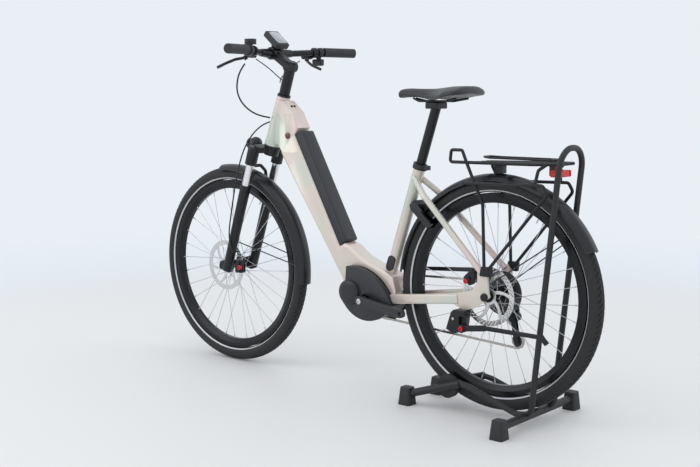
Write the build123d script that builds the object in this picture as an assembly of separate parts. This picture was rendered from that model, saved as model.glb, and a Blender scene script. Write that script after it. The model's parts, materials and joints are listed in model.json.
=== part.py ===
from build123d import *
import os
from math import acos, atan2, cos, hypot, pi, radians, sin, tan

# Trekking e-bike standing in a rear-wheel display stand. Millimetres, +Z up, floor at z = 0,
# +X towards the rear of the bike, +Y towards its drive side, origin on the floor at mid-wheelbase.

# ---- driving dimensions -------------------------------------------------------------------
WHEELBASE = 1150.0
TYRE_RADIUS = 358.0          # outside radius of both tyres
TYRE_SECTION = 24.0          # radius of the tyre's round section
TYRE_WALL = 3.5
RIM_RADIUS = 311.0           # outside radius of the rim
RIM_DEPTH = 31.0
RIM_WIDTH = 29.0
RIM_WALL = 3.0
SPOKES = 32
SPOKE_R = 1.0
FLANGE_R = 27.0
LIFT = 18.0                  # how far the stand holds the rear tyre off the floor

HEAD_ANGLE = 72.0
FORK_OFFSET = 54.0           # front axle ahead of the steering axis
LEG_OFFSET = 24.0            # fork legs ahead of the steering axis
LEG_SPREAD = 65.0            # fork legs either side of the middle
STANCHION_R = 15.0
LOWER_LEG_R = 19.0
FORK_TRAVEL = 50.0
HEAD_TUBE_S = (486.0, 664.0) # along the steering axis from the foot of the axle's offset
HEAD_TUBE_R = (30.0, 24.0)
HEAD_BORE = 18.0
STEERER_R = 14.3
STEM_TOP_S = 790.0
RUN_FIT = 0.05               # radial clearance of turning and sliding fits

BAR_R = 11.0
BAR_CLAMP_R = 15.9
BAR_HEIGHT = 1122.0
BAR_REACH = -359.0
GRIP_R = 16.5
GRIP_INNER = (-305.0, 190.0, 1129.0)
GRIP_OUTER = (-266.0, 312.0, 1128.0)

CRANK_AXLE = (100.0, 309.0)
CRANK_LENGTH = 170.0
CRANK_DROP = 7.0             # degrees the left arm points below the rear
CRANK_Y = (78.0, 92.0)
PEDAL_HOLE_R = 7.1
SPINDLE_R = 12.0
CHAIN_Y = 52.0
CHAIN_PITCH = 12.7
CHAIN_HALF = 3.8             # half height of the chain
CHAIN_WIDTH = 5.6
RING_TEETH = 38
COG_TEETH = (34, 30, 26, 23, 20, 17, 15, 13, 11)
COG_IN_USE = 6
COG_STEP = 4.0
PULLEY_TEETH = 11
GUIDE_PULLEY = (602.0, 300.0)
TENSION_PULLEY = (616.0, 228.0)

SEAT_ANGLE = 72.0
SEAT_FOOT = (158.0, 385.0)
SEAT_TUBE_R = 19.0
SEAT_TUBE_TOP = 757.0        # height of its top end
POST_R = 15.6
POST_HEAD_Z = 940.0
SADDLE_NOSE = 196.0
SADDLE_LENGTH = 284.0
SADDLE_WIDTH = 170.0
SADDLE_BASE_Z = 972.0
SADDLE_DEPTH = 30.0

FRAME_HALF = 36.0            # half width of the down tube
BATTERY_HALF = 30.0
BATTERY_LENGTH = 418.0
DROPOUT_IN = 63.0            # inner face of the rear dropouts
DROPOUT_T = 8.0
FRONT_OLD = 50.0             # inner face of the fork ends
DISC_T = 1.8
DISC_R = 91.0
FRONT_DISC_Y = -43.5
REAR_DISC_Y = -50.0

GUARD_R = 369.0              # mudguard crown radius from the axle
GUARD_HALF = 33.0
GUARD_DROP = 22.0            # its edges are this much nearer the axle
GUARD_T = 2.2

RACK_Z = 780.0
RACK_HALF = 60.0
RACK_TUBE_R = 5.0
PANNIER_Y = 74.0

STAND_TUBE_R = 9.0
STAND_LEG_R = 12.5
STAND_HALF = 65.0            # hoop legs either side of the wheel
STAND_TOP = 838.0
STAND_BAR_X = 722.0
STAND_BAR_Z = 34.0
STAND_BAR_HALF = 230.0
FOOT_HEIGHT = 56.0
FOOT_SIDE = 46.0
ROLLER_R = 37.0
ROLLER_X = 424.0
ROLLER_Z = 72.0
ROLLER_Y = (31.0, 49.0)

LOWEST_FIRST = (Align.CENTER, Align.CENTER, Align.MIN)

# ---- places worked out from them ----------------------------------------------------------
FRONT = Vector(-WHEELBASE / 2, 0, TYRE_RADIUS)
REAR = Vector(WHEELBASE / 2, 0, TYRE_RADIUS + LIFT)
STEER_UP = Vector(cos(radians(HEAD_ANGLE)), 0, sin(radians(HEAD_ANGLE)))
STEER_FWD = Vector(-sin(radians(HEAD_ANGLE)), 0, cos(radians(HEAD_ANGLE)))
STEER_FOOT = FRONT - STEER_FWD * FORK_OFFSET
SEAT_UP = Vector(cos(radians(SEAT_ANGLE)), 0, sin(radians(SEAT_ANGLE)))
SEAT_START = Vector(SEAT_FOOT[0], 0, SEAT_FOOT[1])
SEAT_TOP_S = (SEAT_TUBE_TOP - SEAT_FOOT[1]) / SEAT_UP.Z
TYRE_MID = TYRE_RADIUS - TYRE_SECTION
RIM_INNER = RIM_RADIUS - RIM_DEPTH
DOWN_LOW_TOP = (-322.0, 806.0)
DOWN_LOW_END = (-14.0, 357.0)


def steer(s, f=0.0, y=0.0):
    "A place s along the steering axis, f ahead of it and y to the side."
    return STEER_FOOT + STEER_UP * s + STEER_FWD * f + Vector(0, y, 0)


def seat(s):
    "A place s along the seat tube's axis from its foot."
    return SEAT_START + SEAT_UP * s


def rod(a, b, r, bore=0.0, r_end=None):
    "A round bar from a to b, or a cone, or a tube where it has a bore."
    a, b = Vector(*a), Vector(*b)
    run = b - a
    if r_end is None:
        solid = Cylinder(r, run.length, align=LOWEST_FIRST)
    else:
        solid = Cone(r, r_end, run.length, align=LOWEST_FIRST)
    if bore:
        solid -= Cylinder(bore, run.length, align=LOWEST_FIRST)
    return Plane(origin=a, z_dir=run.normalized()) * solid


def beam(a, b, wide, high, rounding=0.0):
    "A bar of rectangular section from a to b, wide across Y and high across the run."
    a, b = Vector(*a), Vector(*b)
    run = b - a
    across = Vector(0, 1, 0) - run.normalized() * run.normalized().Y
    section = RectangleRounded(wide, high, rounding) if rounding else Rectangle(wide, high)
    return Plane(origin=a, x_dir=across, z_dir=run.normalized()) * extrude(section, run.length)


def block(x, y, z):
    "A box between the two values of each pair."
    middle = Pos((x[0] + x[1]) / 2, (y[0] + y[1]) / 2, (z[0] + z[1]) / 2)
    return middle * Box(x[1] - x[0], y[1] - y[0], z[1] - z[0])


def flat(face, y0, y1):
    "A side-view face (x, z) given thickness from y0 to y1."
    return extrude(Plane.XZ.offset(-y1) * face, amount=y1 - y0)


def outline(points, rounding=0.0):
    face = make_face(Polyline(*points, close=True))
    return fillet(face.vertices(), rounding) if rounding else face


def pipe(points, r, bends):
    "A round tube along straight runs joined by tangent arcs."
    path = FilletPolyline(*points, radius=bends)
    return sweep(Plane(origin=path @ 0, z_dir=path % 0) * Circle(r), path=path)


def cord_bends(name, points):
    "Each corner's arc is as large as its two runs allow."
    radii = []
    for before, here, after in zip(points, points[1:], points[2:]):
        into = Vector(*here) - Vector(*before)
        out = Vector(*after) - Vector(*here)
        turn = radians(into.get_angle(out))
        radii.append(0.45 * min(into.length, out.length) / tan(turn / 2))
    print(name, "bend radii", [round(value, 1) for value in radii])
    return radii


def cord(name, points, r):
    return pipe(points, r, cord_bends(name, points))


def ring_y(centre, r, bore, y0, y1):
    "A disc or ring across Y about an axle."
    solid = rod((centre[0], y0, centre[1]), (centre[0], y1, centre[1]), r)
    if bore:
        solid -= rod((centre[0], y0 - 1, centre[1]), (centre[0], y1 + 1, centre[1]), bore)
    return solid


def around(centre, face, start=0.0, arc=360.0):
    "A face drawn in (y, radius), turned about an axle; start is degrees back from the top."
    place = Plane(origin=centre, x_dir=(0, 1, 0), z_dir=(cos(radians(start)), 0, -sin(radians(start))))
    return revolve(place * face, axis=Axis(centre, (0, 1, 0)), revolution_arc=arc)


def mirror_y(shape):
    return mirror(shape, about=Plane.XZ)


def sprocket_r(teeth):
    return CHAIN_PITCH / (2 * sin(pi / teeth))


def clock(centre, r, angle, y):
    "A place r from an axle, angle degrees from +X towards +Z."
    return Vector(centre.X + r * cos(radians(angle)), y, centre.Z + r * sin(radians(angle)))


# ---- wheels -------------------------------------------------------------------------------
def tyre(axle):
    section = Pos(0, TYRE_MID) * Circle(TYRE_SECTION)
    section -= Pos(0, TYRE_MID) * Circle(TYRE_SECTION - TYRE_WALL)
    section -= Pos(0, RIM_RADIUS / 2) * Rectangle(4 * TYRE_SECTION, RIM_RADIUS)
    return around(axle, section)


def rim(axle):
    half, low = RIM_WIDTH / 2, RIM_WIDTH / 4
    shell = outline([(-half, RIM_RADIUS), (half, RIM_RADIUS), (half, RIM_RADIUS - 14),
                     (low, RIM_INNER), (-low, RIM_INNER), (-half, RIM_RADIUS - 14)])
    hollow = outline([(-half + RIM_WALL, RIM_RADIUS - 5), (half - RIM_WALL, RIM_RADIUS - 5),
                      (half - RIM_WALL, RIM_RADIUS - 15), (low - 1, RIM_INNER + RIM_WALL),
                      (1 - low, RIM_INNER + RIM_WALL), (RIM_WALL - half, RIM_RADIUS - 15)])
    return around(axle, shell - hollow)


def spokes(axle, flange_ys):
    "Three-cross lacing; odd spokes lie outside their flange and even ones inside it."
    made = []
    per_side = SPOKES // 2
    step = 360.0 / per_side
    for side, flange_y in zip((-1, 1), flange_ys):
        for k in range(per_side):
            hub_angle = k * step + (step / 2 if side > 0 else 0)
            outside = k % 2
            lean = 3 * step * (1 if outside else -1)
            clear = side * (3.75 if outside else -2.85)
            start = clock(axle, FLANGE_R - 3, hub_angle, flange_y + clear)
            rim_y = side * (4.0 if outside else 1.5)
            end = clock(axle, RIM_INNER - 0.6, hub_angle + lean, rim_y)
            run = (end - start).normalized()
            spoke = rod(start, end, SPOKE_R) + rod(end - run * 13, end, 2.0)
            made.append(spoke)
    return made


def hub(axle, flange_ys, ends, barrel_r, bore, disc_y):
    low, high = flange_ys
    centre = (axle.X, axle.Z)
    body = ring_y(centre, barrel_r, 0, low, high)
    body += ring_y(centre, 12.0, 0, ends[0], ends[1])
    for y in flange_ys:
        body += ring_y(centre, FLANGE_R, 0, y - 1.75, y + 1.75)
    body += ring_y(centre, 21.0, 0, disc_y + DISC_T / 2, low)
    return body - ring_y(centre, bore, 0, ends[0] - 1, ends[1] + 1)


def brake_disc(axle, y):
    "A steel rotor: slotted band, six leaning arms and a carrier ring."
    centre = (axle.X, axle.Z)
    y0, y1 = y - DISC_T / 2, y + DISC_T / 2
    band = DISC_R - 17
    disc = ring_y(centre, DISC_R, 13.0, y0, y1)
    window = outline([(33, -9), (band - 12, -26), (band - 4, -6), (band - 14, 14), (36, 11)], 3.0)
    for k in range(6):
        place = Pos(axle.X, axle.Z) * Rot(0, 0, k * 60)
        disc -= flat(place * window, y0 - 1, y1 + 1)
    for k in range(24):
        spot = clock(axle, DISC_R - (6 if k % 2 else 11), k * 15, 0)
        disc -= ring_y((spot.X, spot.Z), 2.6, 0, y0 - 1, y1 + 1)
    return disc


def caliper(axle, angle, disc_y, half=17.0):
    "A two-piston caliper straddling the rotor, with its pad axle bolt."
    spot = clock(axle, DISC_R - 13, angle, disc_y)
    body = fillet(Box(46, 2 * half, 34).edges(), 4.0)
    body = Pos(spot.X, disc_y - 5, spot.Z) * Rot(0, -angle - 90, 0) * body
    for shift in (-12, 12):
        tangent = Vector(-sin(radians(angle)), 0, cos(radians(angle))) * shift
        lug = spot + tangent
        body += ring_y((lug.X, lug.Z), 10.0, 0, disc_y - half - 9, disc_y - half)
    body -= ring_y((axle.X, axle.Z), DISC_R + 5, 0, disc_y - 2.4, disc_y + 2.4)
    return body


def mudguard(axle, start, arc):
    "A shallow arched band; start is degrees from the top, positive to the rear."
    low = GUARD_R - GUARD_DROP
    outer = ThreePointArc((-GUARD_HALF, low), (0, GUARD_R), (GUARD_HALF, low))
    inner = ThreePointArc((GUARD_HALF - GUARD_T, low), (0, GUARD_R - GUARD_T), (GUARD_T - GUARD_HALF, low))
    face = make_face([outer, Line(outer @ 1, inner @ 0), inner, Line(inner @ 1, outer @ 0)])
    return around(axle, face, start, arc)


# ---- frame --------------------------------------------------------------------------------
MOTOR_TOP_LEFT = (18.0, 414.0)


def motor_face(grow=0.0):
    "The drive unit's side outline: a round-topped wedge with a round nose."
    a = (MOTOR_TOP_LEFT[0], MOTOR_TOP_LEFT[1])
    b = (207.0, 300.0)
    c = (10.0, 285.0)
    d = (14.0, 366.0)
    edges = [ThreePointArc(a, (140.0, 388.0), b), ThreePointArc(b, (116.0, 241.0), c),
             ThreePointArc(c, (-7.0, 328.0), d), Line(d, a)]
    face = make_face(edges)
    return offset(face, grow) if grow else face


def bracket_face():
    return outline([DOWN_LOW_END, (20, 380), (204, 332), (209, 345), (196, 392), (150, 414), (100, 428),
                    (55, 446), (10, 478), (-12, 486)])


def down_tube_face():
    return outline([(-345, 806), DOWN_LOW_TOP, DOWN_LOW_END, (-12, 486), (-33, 474), (-238, 842),
                    (-222, 866), (-252, 919), (-297, 958), (-320, 958)])


def battery_plane():
    "Origin at the battery's top corner, x along the down tube, y out of it."
    along = Vector(-33 + 238, 0, 474 - 842).normalized()
    return Plane(origin=(-238, 0, 842), x_dir=along, z_dir=(0, -1, 0))


def battery_solid(grow=0.0, depth=(-30.0, 34.0)):
    face = Pos(BATTERY_LENGTH / 2, (depth[0] + depth[1]) / 2) * RectangleRounded(
        BATTERY_LENGTH + 2 * grow, depth[1] - depth[0] + 2 * grow, 8.0 + grow)
    half = BATTERY_HALF + grow
    solid = extrude(battery_plane() * face, amount=half, both=True)
    return solid


def head_tube():
    return head_core() - rod(steer(HEAD_TUBE_S[0] - 1), steer(HEAD_TUBE_S[1] + 1), HEAD_BORE)


def side_plug():
    return rod((-272, -33.0, 838), (-272, -25, 838), 11.0)


def head_core():
    return rod(steer(HEAD_TUBE_S[0]), steer(HEAD_TUBE_S[1]), HEAD_TUBE_R[0], r_end=HEAD_TUBE_R[1])


def seat_bore():
    return rod(seat(SEAT_TOP_S - 150), seat(SEAT_TOP_S + 10), POST_R + RUN_FIT)


def down_tube():
    "A deep box tube, narrower at the head, with the battery's bay in its upper face."
    solid = flat(down_tube_face(), -FRAME_HALF, FRAME_HALF)
    long_edges = [edge for edge in solid.edges() if abs((edge % 0.5).Y) < 0.5 and edge.center().X < -20]
    solid = fillet(long_edges, 9.0)
    taper = [(-350, 24), (-300, 27), (-215, FRAME_HALF), (-215, FRAME_HALF + 9), (-350, FRAME_HALF + 9)]
    wedge = extrude(Plane.XY.offset(780) * outline(taper), amount=200)
    solid -= wedge
    solid -= mirror_y(wedge)
    solid -= head_core()
    solid -= battery_solid(0.6)
    return solid - side_plug()


def motor_bracket():
    solid = flat(bracket_face(), -FRAME_HALF, FRAME_HALF)
    upper = [edge for edge in solid.edges()
             if abs((edge % 0.5).Y) < 0.5 and edge.center().Z > 400 and -5 < edge.center().X < 160]
    solid = fillet(upper, 9.0)
    return solid - flat(motor_face(), -60, 60)


def seat_tube():
    solid = rod(seat(-12), seat(SEAT_TOP_S), SEAT_TUBE_R)
    solid -= flat(bracket_face(), -FRAME_HALF, FRAME_HALF)
    return solid - seat_bore()


STAY_TOP = (262.0, 14.0, 722.0)
STAY_KNEE = (326.0, 45.0, 666.0)
STAY_END = (560.0, 65.0, 448.0)
CHAIN_STAY_START = (196.0, 38.0, 322.0)
CHAIN_STAY_END = (478.0, 67.0, 360.0)


def dropout_face():
    axle = (REAR.X, REAR.Z)
    plate = outline([(462, 376), (466, 340), (500, 328), (535, 336), (573, 362), (592, 376), (588, 392),
                     (583, 440), (568, 462), (548, 452), (548, 420), (530, 392)], 5.0)
    return plate - Pos(axle[0], axle[1]) * Circle(7.5)


def dropout_plate(side):
    inner, outer = sorted((side * DROPOUT_IN, side * (DROPOUT_IN + DROPOUT_T)))
    return flat(dropout_face(), inner, outer)


def seat_stay(side):
    top = (STAY_TOP[0], side * STAY_TOP[1], STAY_TOP[2])
    knee = (STAY_KNEE[0], side * STAY_KNEE[1], STAY_KNEE[2])
    end = (STAY_END[0], side * STAY_END[1], STAY_END[2])
    solid = pipe([top, knee, end], 10.0, [60.0])
    solid -= rod(seat(-12), seat(SEAT_TOP_S + 5), SEAT_TUBE_R)
    if side < 0:
        solid -= ring_y((REAR.X, REAR.Z), DISC_R + 3, 0, REAR_DISC_Y - 8, REAR_DISC_Y + 6)
    return solid - dropout_plate(side)


def chain_stay(side):
    start = (CHAIN_STAY_START[0], side * CHAIN_STAY_START[1], CHAIN_STAY_START[2])
    end = (CHAIN_STAY_END[0], side * CHAIN_STAY_END[1], CHAIN_STAY_END[2])
    solid = beam(start, end, 16.0, 32.0, 6.0)
    solid -= flat(bracket_face(), -FRAME_HALF, FRAME_HALF)
    solid -= flat(motor_face(1.0), -60, 60)
    return solid + dropout_plate(side)


def frame_fittings():
    "Headset cups, seat clamp, cable ports, side plug and the seat tube's cover."
    low, high = HEAD_TUBE_S
    bore = STEERER_R + RUN_FIT
    made = [rod(steer(high), steer(high + 6), HEAD_TUBE_R[1] - 0.5, bore) + rod(steer(high - 14), steer(high),
            HEAD_BORE, bore)]
    made.append(rod(steer(low - 6), steer(low), HEAD_TUBE_R[0] - 0.5, bore) + rod(steer(low), steer(low + 14),
                HEAD_BORE, bore))
    clamp = rod(seat(SEAT_TOP_S - 12), seat(SEAT_TOP_S), SEAT_TUBE_R + 4.5, SEAT_TUBE_R)
    clamp += rod(seat(SEAT_TOP_S), seat(SEAT_TOP_S + 5), SEAT_TUBE_R + 4.5, POST_R + RUN_FIT)
    ear = seat(SEAT_TOP_S - 4) + Vector(27, 0, -4)
    clamp += Pos(ear.X, 0, ear.Z) * Box(14, 20, 14)
    clamp -= rod(seat(SEAT_TOP_S - 30), seat(SEAT_TOP_S), SEAT_TUBE_R)
    clamp -= seat_bore()
    made.append(clamp)
    made.append(side_plug())
    port = Plane(origin=(-274.5, 0, 938.5), z_dir=(0.655, 0, 0.756))
    for y in (-7, 7):
        made.append(port * Pos(0, y, 0.1) * Cylinder(4.5, 2.4, align=LOWEST_FIRST))
    return made


def port_cover():
    spot = seat(52)
    face = Pos(spot.X, spot.Z) * Rot(0, 0, SEAT_ANGLE - 90) * RectangleRounded(27, 52, 12.5)
    lid = flat(face, -SEAT_TUBE_R - 2, -8)
    return lid - rod(seat(-12), seat(SEAT_TOP_S), SEAT_TUBE_R)


# ---- drive --------------------------------------------------------------------------------
def motor_unit():
    body = flat(motor_face(-5.0), -42, 40)
    axle_hole = ring_y(CRANK_AXLE, SPINDLE_R + RUN_FIT, 0, -60, 60)
    return body - axle_hole


def motor_covers():
    left = flat(motor_face(), -60, -42)
    left -= flat(motor_face(-3.0), -57, -41)
    left += ring_y((36, 329), 41.0, 0, -70, -60)
    left = left - ring_y(CRANK_AXLE, 20.0, 0, -80, -40)
    right = flat(motor_face(), 40, 46) - flat(motor_face(-3.0), 39, 43.5)
    right -= ring_y(CRANK_AXLE, 20.0, 0, 30, 60)
    return [left, right]


def crank_arm(side):
    axle = Vector(CRANK_AXLE[0], 0, CRANK_AXLE[1])
    turn = -CRANK_DROP if side < 0 else 180.0 - CRANK_DROP
    end = clock(axle, CRANK_LENGTH, turn, 0)
    y0, y1 = sorted((side * CRANK_Y[0], side * CRANK_Y[1]))
    sweep_line = Vector(end.X - axle.X, end.Z - axle.Z)
    n = Vector(-sweep_line.Y, sweep_line.X).normalized()
    a = Vector(axle.X, axle.Z)
    e = Vector(end.X, end.Z)
    corners = [a + n * 17, e + n * 13, e - n * 13, a - n * 17]
    face = outline([(p.X, p.Y) for p in corners])
    arm = flat(face, y0, y1) + ring_y((a.X, a.Y), 17.0, 0, y0, y1) + ring_y((e.X, e.Y), 13.0, 0, y0, y1)
    hub_y = sorted((side * 62.0, side * CRANK_Y[0]))
    arm += ring_y((a.X, a.Y), 14.5, 0, hub_y[0], hub_y[1])
    arm -= ring_y((a.X, a.Y), SPINDLE_R, 0, -88, 88)
    return arm - ring_y((e.X, e.Y), PEDAL_HOLE_R, 0, y0 - 1, y1 + 1)


def chainring():
    r = sprocket_r(RING_TEETH) - CHAIN_HALF - 0.5
    ring = ring_y(CRANK_AXLE, r, 0, CHAIN_Y - 1.5, CHAIN_Y + 1.5)
    for k in range(5):
        spot = clock(Vector(CRANK_AXLE[0], 0, CRANK_AXLE[1]), 46, 36 + 72 * k, 0)
        ring -= ring_y((spot.X, spot.Z), 15.0, 0, 40, 60)
    pitch_r = sprocket_r(RING_TEETH)
    guard = ring_y(CRANK_AXLE, pitch_r + 7, pitch_r - 18, CHAIN_Y + 5, CHAIN_Y + 7)
    ring += ring_y(CRANK_AXLE, 23.0, 0, CHAIN_Y - 3, 61.5)
    ring -= ring_y(CRANK_AXLE, SPINDLE_R, 0, 30, 70)
    posts = []
    for k in range(5):
        spot = clock(Vector(CRANK_AXLE[0], 0, CRANK_AXLE[1]), sprocket_r(RING_TEETH) - 14, 72 * k, 0)
        posts.append(ring_y((spot.X, spot.Z), 3.5, 0, CHAIN_Y + 1.5, CHAIN_Y + 5))
    return [ring, guard] + posts


def cassette():
    "Nine cogs on their carrier, largest inboard, each a plain disc inside the chain's path."
    centre = (REAR.X, REAR.Z)
    body = ring_y(centre, 17.5, 0, CHAIN_Y - COG_IN_USE * COG_STEP - 1, CHAIN_Y + 8.6)
    for k, teeth in enumerate(COG_TEETH):
        y = CHAIN_Y + (k - COG_IN_USE) * COG_STEP
        r = sprocket_r(teeth) - (CHAIN_HALF + 0.5 if k == COG_IN_USE else 0.0)
        if k > COG_IN_USE:
            r = min(r, sprocket_r(COG_TEETH[COG_IN_USE]) - CHAIN_HALF - 0.5)
        body += ring_y(centre, r, 0, y - 0.9, y + 0.9)
    return body - ring_y(centre, 12.0 + RUN_FIT, 0, 10, 80)


def chain_path(shift):
    "The chain's loop round ring, cog, guide pulley (crossed) and tension pulley."
    wheels = [(CRANK_AXLE, sprocket_r(RING_TEETH), 1),
              ((REAR.X, REAR.Z), sprocket_r(COG_TEETH[COG_IN_USE]), 1),
              (GUIDE_PULLEY, sprocket_r(PULLEY_TEETH), -1),
              (TENSION_PULLEY, sprocket_r(PULLEY_TEETH), 1)]
    joins = []
    for (c1, r1, s1), (c2, r2, s2) in zip(wheels, wheels[1:] + wheels[:1]):
        r1, r2 = (r1 + s1 * shift) * s1, (r2 + s2 * shift) * s2
        dx, dz = c2[0] - c1[0], c2[1] - c1[1]
        lean = atan2(dz, dx) + acos((r1 - r2) / hypot(dx, dz))
        nx, nz = cos(lean), sin(lean)
        joins.append(((c1[0] + r1 * nx, c1[1] + r1 * nz), (c2[0] + r2 * nx, c2[1] + r2 * nz)))
    edges = []
    for k, (start, end) in enumerate(joins):
        edges.append(Line(start, end))
        following = joins[(k + 1) % len(joins)][0]
        centre, r, sense = wheels[(k + 1) % len(wheels)]
        a0 = atan2(end[1] - centre[1], end[0] - centre[0])
        a1 = atan2(following[1] - centre[1], following[0] - centre[0])
        turn = (a0 - a1) % (2 * pi) if sense > 0 else -((a1 - a0) % (2 * pi))
        middle = a0 - turn / 2
        radius = hypot(end[0] - centre[0], end[1] - centre[1])
        via = (centre[0] + radius * cos(middle), centre[1] + radius * sin(middle))
        edges.append(ThreePointArc(end, via, following))
    return make_face(edges)


def chain():
    loop = chain_path(CHAIN_HALF) - chain_path(-CHAIN_HALF)
    return flat(loop, CHAIN_Y - CHAIN_WIDTH / 2, CHAIN_Y + CHAIN_WIDTH / 2)


def chain_guard():
    "A flat plastic bar above the chain's upper run."
    bar = outline([(226, 408), (226, 420), (440, 438), (466, 436), (466, 426), (440, 424)], 2.0)
    return flat(bar, 58, 64)


def pulley(centre):
    r = sprocket_r(PULLEY_TEETH) - CHAIN_HALF - 0.5
    return ring_y(centre, r, 3.0 + RUN_FIT, CHAIN_Y - 1.5, CHAIN_Y + 1.5)


def derailleur():
    "Hanger arm, knuckle and the pulley cage's two plates with the pulley axles."
    gy, ty = GUIDE_PULLEY, TENSION_PULLEY
    along = Vector(ty[0] - gy[0], ty[1] - gy[1]).normalized()
    side = Vector(-along.Y, along.X)
    g, t = Vector(*gy), Vector(*ty)
    face = outline([(p.X, p.Y) for p in (g - along * 10 + side * 8, g - along * 10 - side * 8,
                                         t + along * 10 - side * 8, t + along * 10 + side * 8)], 5.0)
    outer_y, inner_y = (CHAIN_Y + 5.0, CHAIN_Y + 7.0), (CHAIN_Y - 7.0, CHAIN_Y - 5.0)
    cage = flat(face, *outer_y) + flat(face, *inner_y)
    for centre in (gy, ty):
        cage += ring_y(centre, 3.0, 0, CHAIN_Y - 6, CHAIN_Y + 6)
    arm = beam((602, CHAIN_Y + 13, 300), (592, CHAIN_Y + 23, 352), 12, 24, 4.0)
    knuckle = ring_y((602, 300), 14.0, 0, CHAIN_Y + 7, CHAIN_Y + 24)
    return cage + knuckle + arm


def rear_axle():
    centre = (REAR.X, REAR.Z)
    shaft = ring_y(centre, 6.0, 0, -DROPOUT_IN - DROPOUT_T, DROPOUT_IN + DROPOUT_T)
    shaft += ring_y(centre, 7.5, 0, -DROPOUT_IN - DROPOUT_T, -DROPOUT_IN)
    shaft += ring_y(centre, 7.5, 0, DROPOUT_IN, DROPOUT_IN + DROPOUT_T)
    shaft += ring_y(centre, 12.0, 0, -DROPOUT_IN - DROPOUT_T - 6, -DROPOUT_IN - DROPOUT_T)
    return shaft


# ---- steering and fork --------------------------------------------------------------------
def leg_at(s, side):
    "A place on a fork leg's axis."
    return steer(s, LEG_OFFSET, side * LEG_SPREAD)


def fork_crown():
    "Steerer, crown and the two chromed stanchions."
    solid = rod(steer(450), steer(STEM_TOP_S - 6), STEERER_R)
    low = HEAD_TUBE_S[0] - 7
    solid += rod(steer(low - 30), steer(low), 27.0)
    place = Plane(origin=steer(low - 22, 14), x_dir=(0, 1, 0), z_dir=STEER_UP)
    solid += extrude(place * RectangleRounded(130, 38, 12), 20)
    for side in (-1, 1):
        solid += rod(leg_at(406, side), leg_at(low - 8, side), 21.0)
        solid += rod(leg_at(130, side), leg_at(406, side), STANCHION_R)
    return solid


def fork_lowers():
    "Magnesium legs with bores for the stanchions, the brace and the axle ends."
    top = 325.0
    made = None
    for side in (-1, 1):
        leg = rod(leg_at(-6, side), leg_at(top, side), LOWER_LEG_R - 2, r_end=LOWER_LEG_R)
        end_y = sorted((side * FRONT_OLD, side * (FRONT_OLD + 14)))
        foot = steer(0, LEG_OFFSET)
        web = outline([(foot.X + 8, foot.Z - 16), (foot.X + 12, foot.Z + 40),
                       (FRONT.X - 12, FRONT.Z + 14), (FRONT.X - 15, FRONT.Z - 12)], 5.0)
        leg += flat(web, *end_y)
        leg += ring_y((FRONT.X, FRONT.Z), 16.0, 0, *end_y)
        leg -= rod(leg_at(60, side), leg_at(top + 1, side), STANCHION_R + RUN_FIT)
        leg -= ring_y((FRONT.X, FRONT.Z), 7.5, 0, min(end_y) - 40, max(end_y) + 40)
        made = leg if made is None else made + leg
    arch = [steer(308, 38, -61), steer(362, 58, -56), steer(386, 56, -22),
            steer(386, 56, 22), steer(362, 58, 56), steer(308, 38, 61)]
    brace = pipe([tuple(p) for p in arch], 6.0, [14.0, 18.0, 18.0, 14.0])
    for side in (-1, 1):
        brace -= rod(leg_at(100, side), leg_at(top + 50, side), STANCHION_R + 2)
    return made + brace


def front_axle():
    centre = (FRONT.X, FRONT.Z)
    shaft = ring_y(centre, 7.5, 0, -FRONT_OLD - 14, FRONT_OLD + 14)
    shaft += ring_y(centre, 11.0, 0, FRONT_OLD + 14, FRONT_OLD + 20)
    return shaft


def stem():
    "Post on the steerer, elbow and the bar clamp."
    bar = Vector(BAR_REACH, 0, BAR_HEIGHT)
    low = HEAD_TUBE_S[1] + 6.5
    solid = rod(steer(low), steer(STEM_TOP_S), 19.0)
    elbow = steer(STEM_TOP_S - 19)
    solid += rod(elbow + Vector(0, -19, 0), elbow + Vector(0, 19, 0), 19.0)
    solid += beam(elbow, bar, 36.0, 30.0, 8.0)
    solid += rod(bar + Vector(0, -24, 0), bar + Vector(0, 24, 0), BAR_CLAMP_R + 6)
    solid -= rod(bar + Vector(0, -40, 0), bar + Vector(0, 40, 0), BAR_CLAMP_R)
    return solid - rod(steer(low - 1), steer(STEM_TOP_S - 6), STEERER_R)


def handlebar():
    "Swept bar, thicker where the stem clamps it."
    points = [(BAR_REACH, 40, BAR_HEIGHT), BAR_BEND, GRIP_INNER, GRIP_OUTER]
    right = pipe(points, BAR_R, [60.0, 60.0])
    right += rod((BAR_REACH, 39, BAR_HEIGHT), BAR_BEND, BAR_CLAMP_R, r_end=13.0)
    middle = rod((BAR_REACH, -40, BAR_HEIGHT), (BAR_REACH, 40, BAR_HEIGHT), BAR_CLAMP_R)
    return middle + right + mirror_y(right)


BAR_BEND = (BAR_REACH + 4, 76.0, BAR_HEIGHT + 1)
GRIP_START = 4.0


def grip_axis():
    return (Vector(*GRIP_OUTER) - Vector(*GRIP_INNER)).normalized()


def along_grip(d, side=1):
    "A place d outboard of the grip's inner end on the bar's axis, or inboard of it where d is negative."
    inner = (Vector(*GRIP_INNER) - Vector(*BAR_BEND)).normalized()
    p = Vector(*GRIP_INNER) + (grip_axis() if d > 0 else inner) * d
    return Vector(p.X, side * p.Y, p.Z)


def grips():
    length = (Vector(*GRIP_OUTER) - Vector(*GRIP_INNER)).length
    made = []
    for side in (-1, 1):
        tube = rod(along_grip(GRIP_START, side), along_grip(length + 3, side), GRIP_R)
        made.append(tube - rod(along_grip(0, side), along_grip(length, side), BAR_R))
    return made


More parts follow.
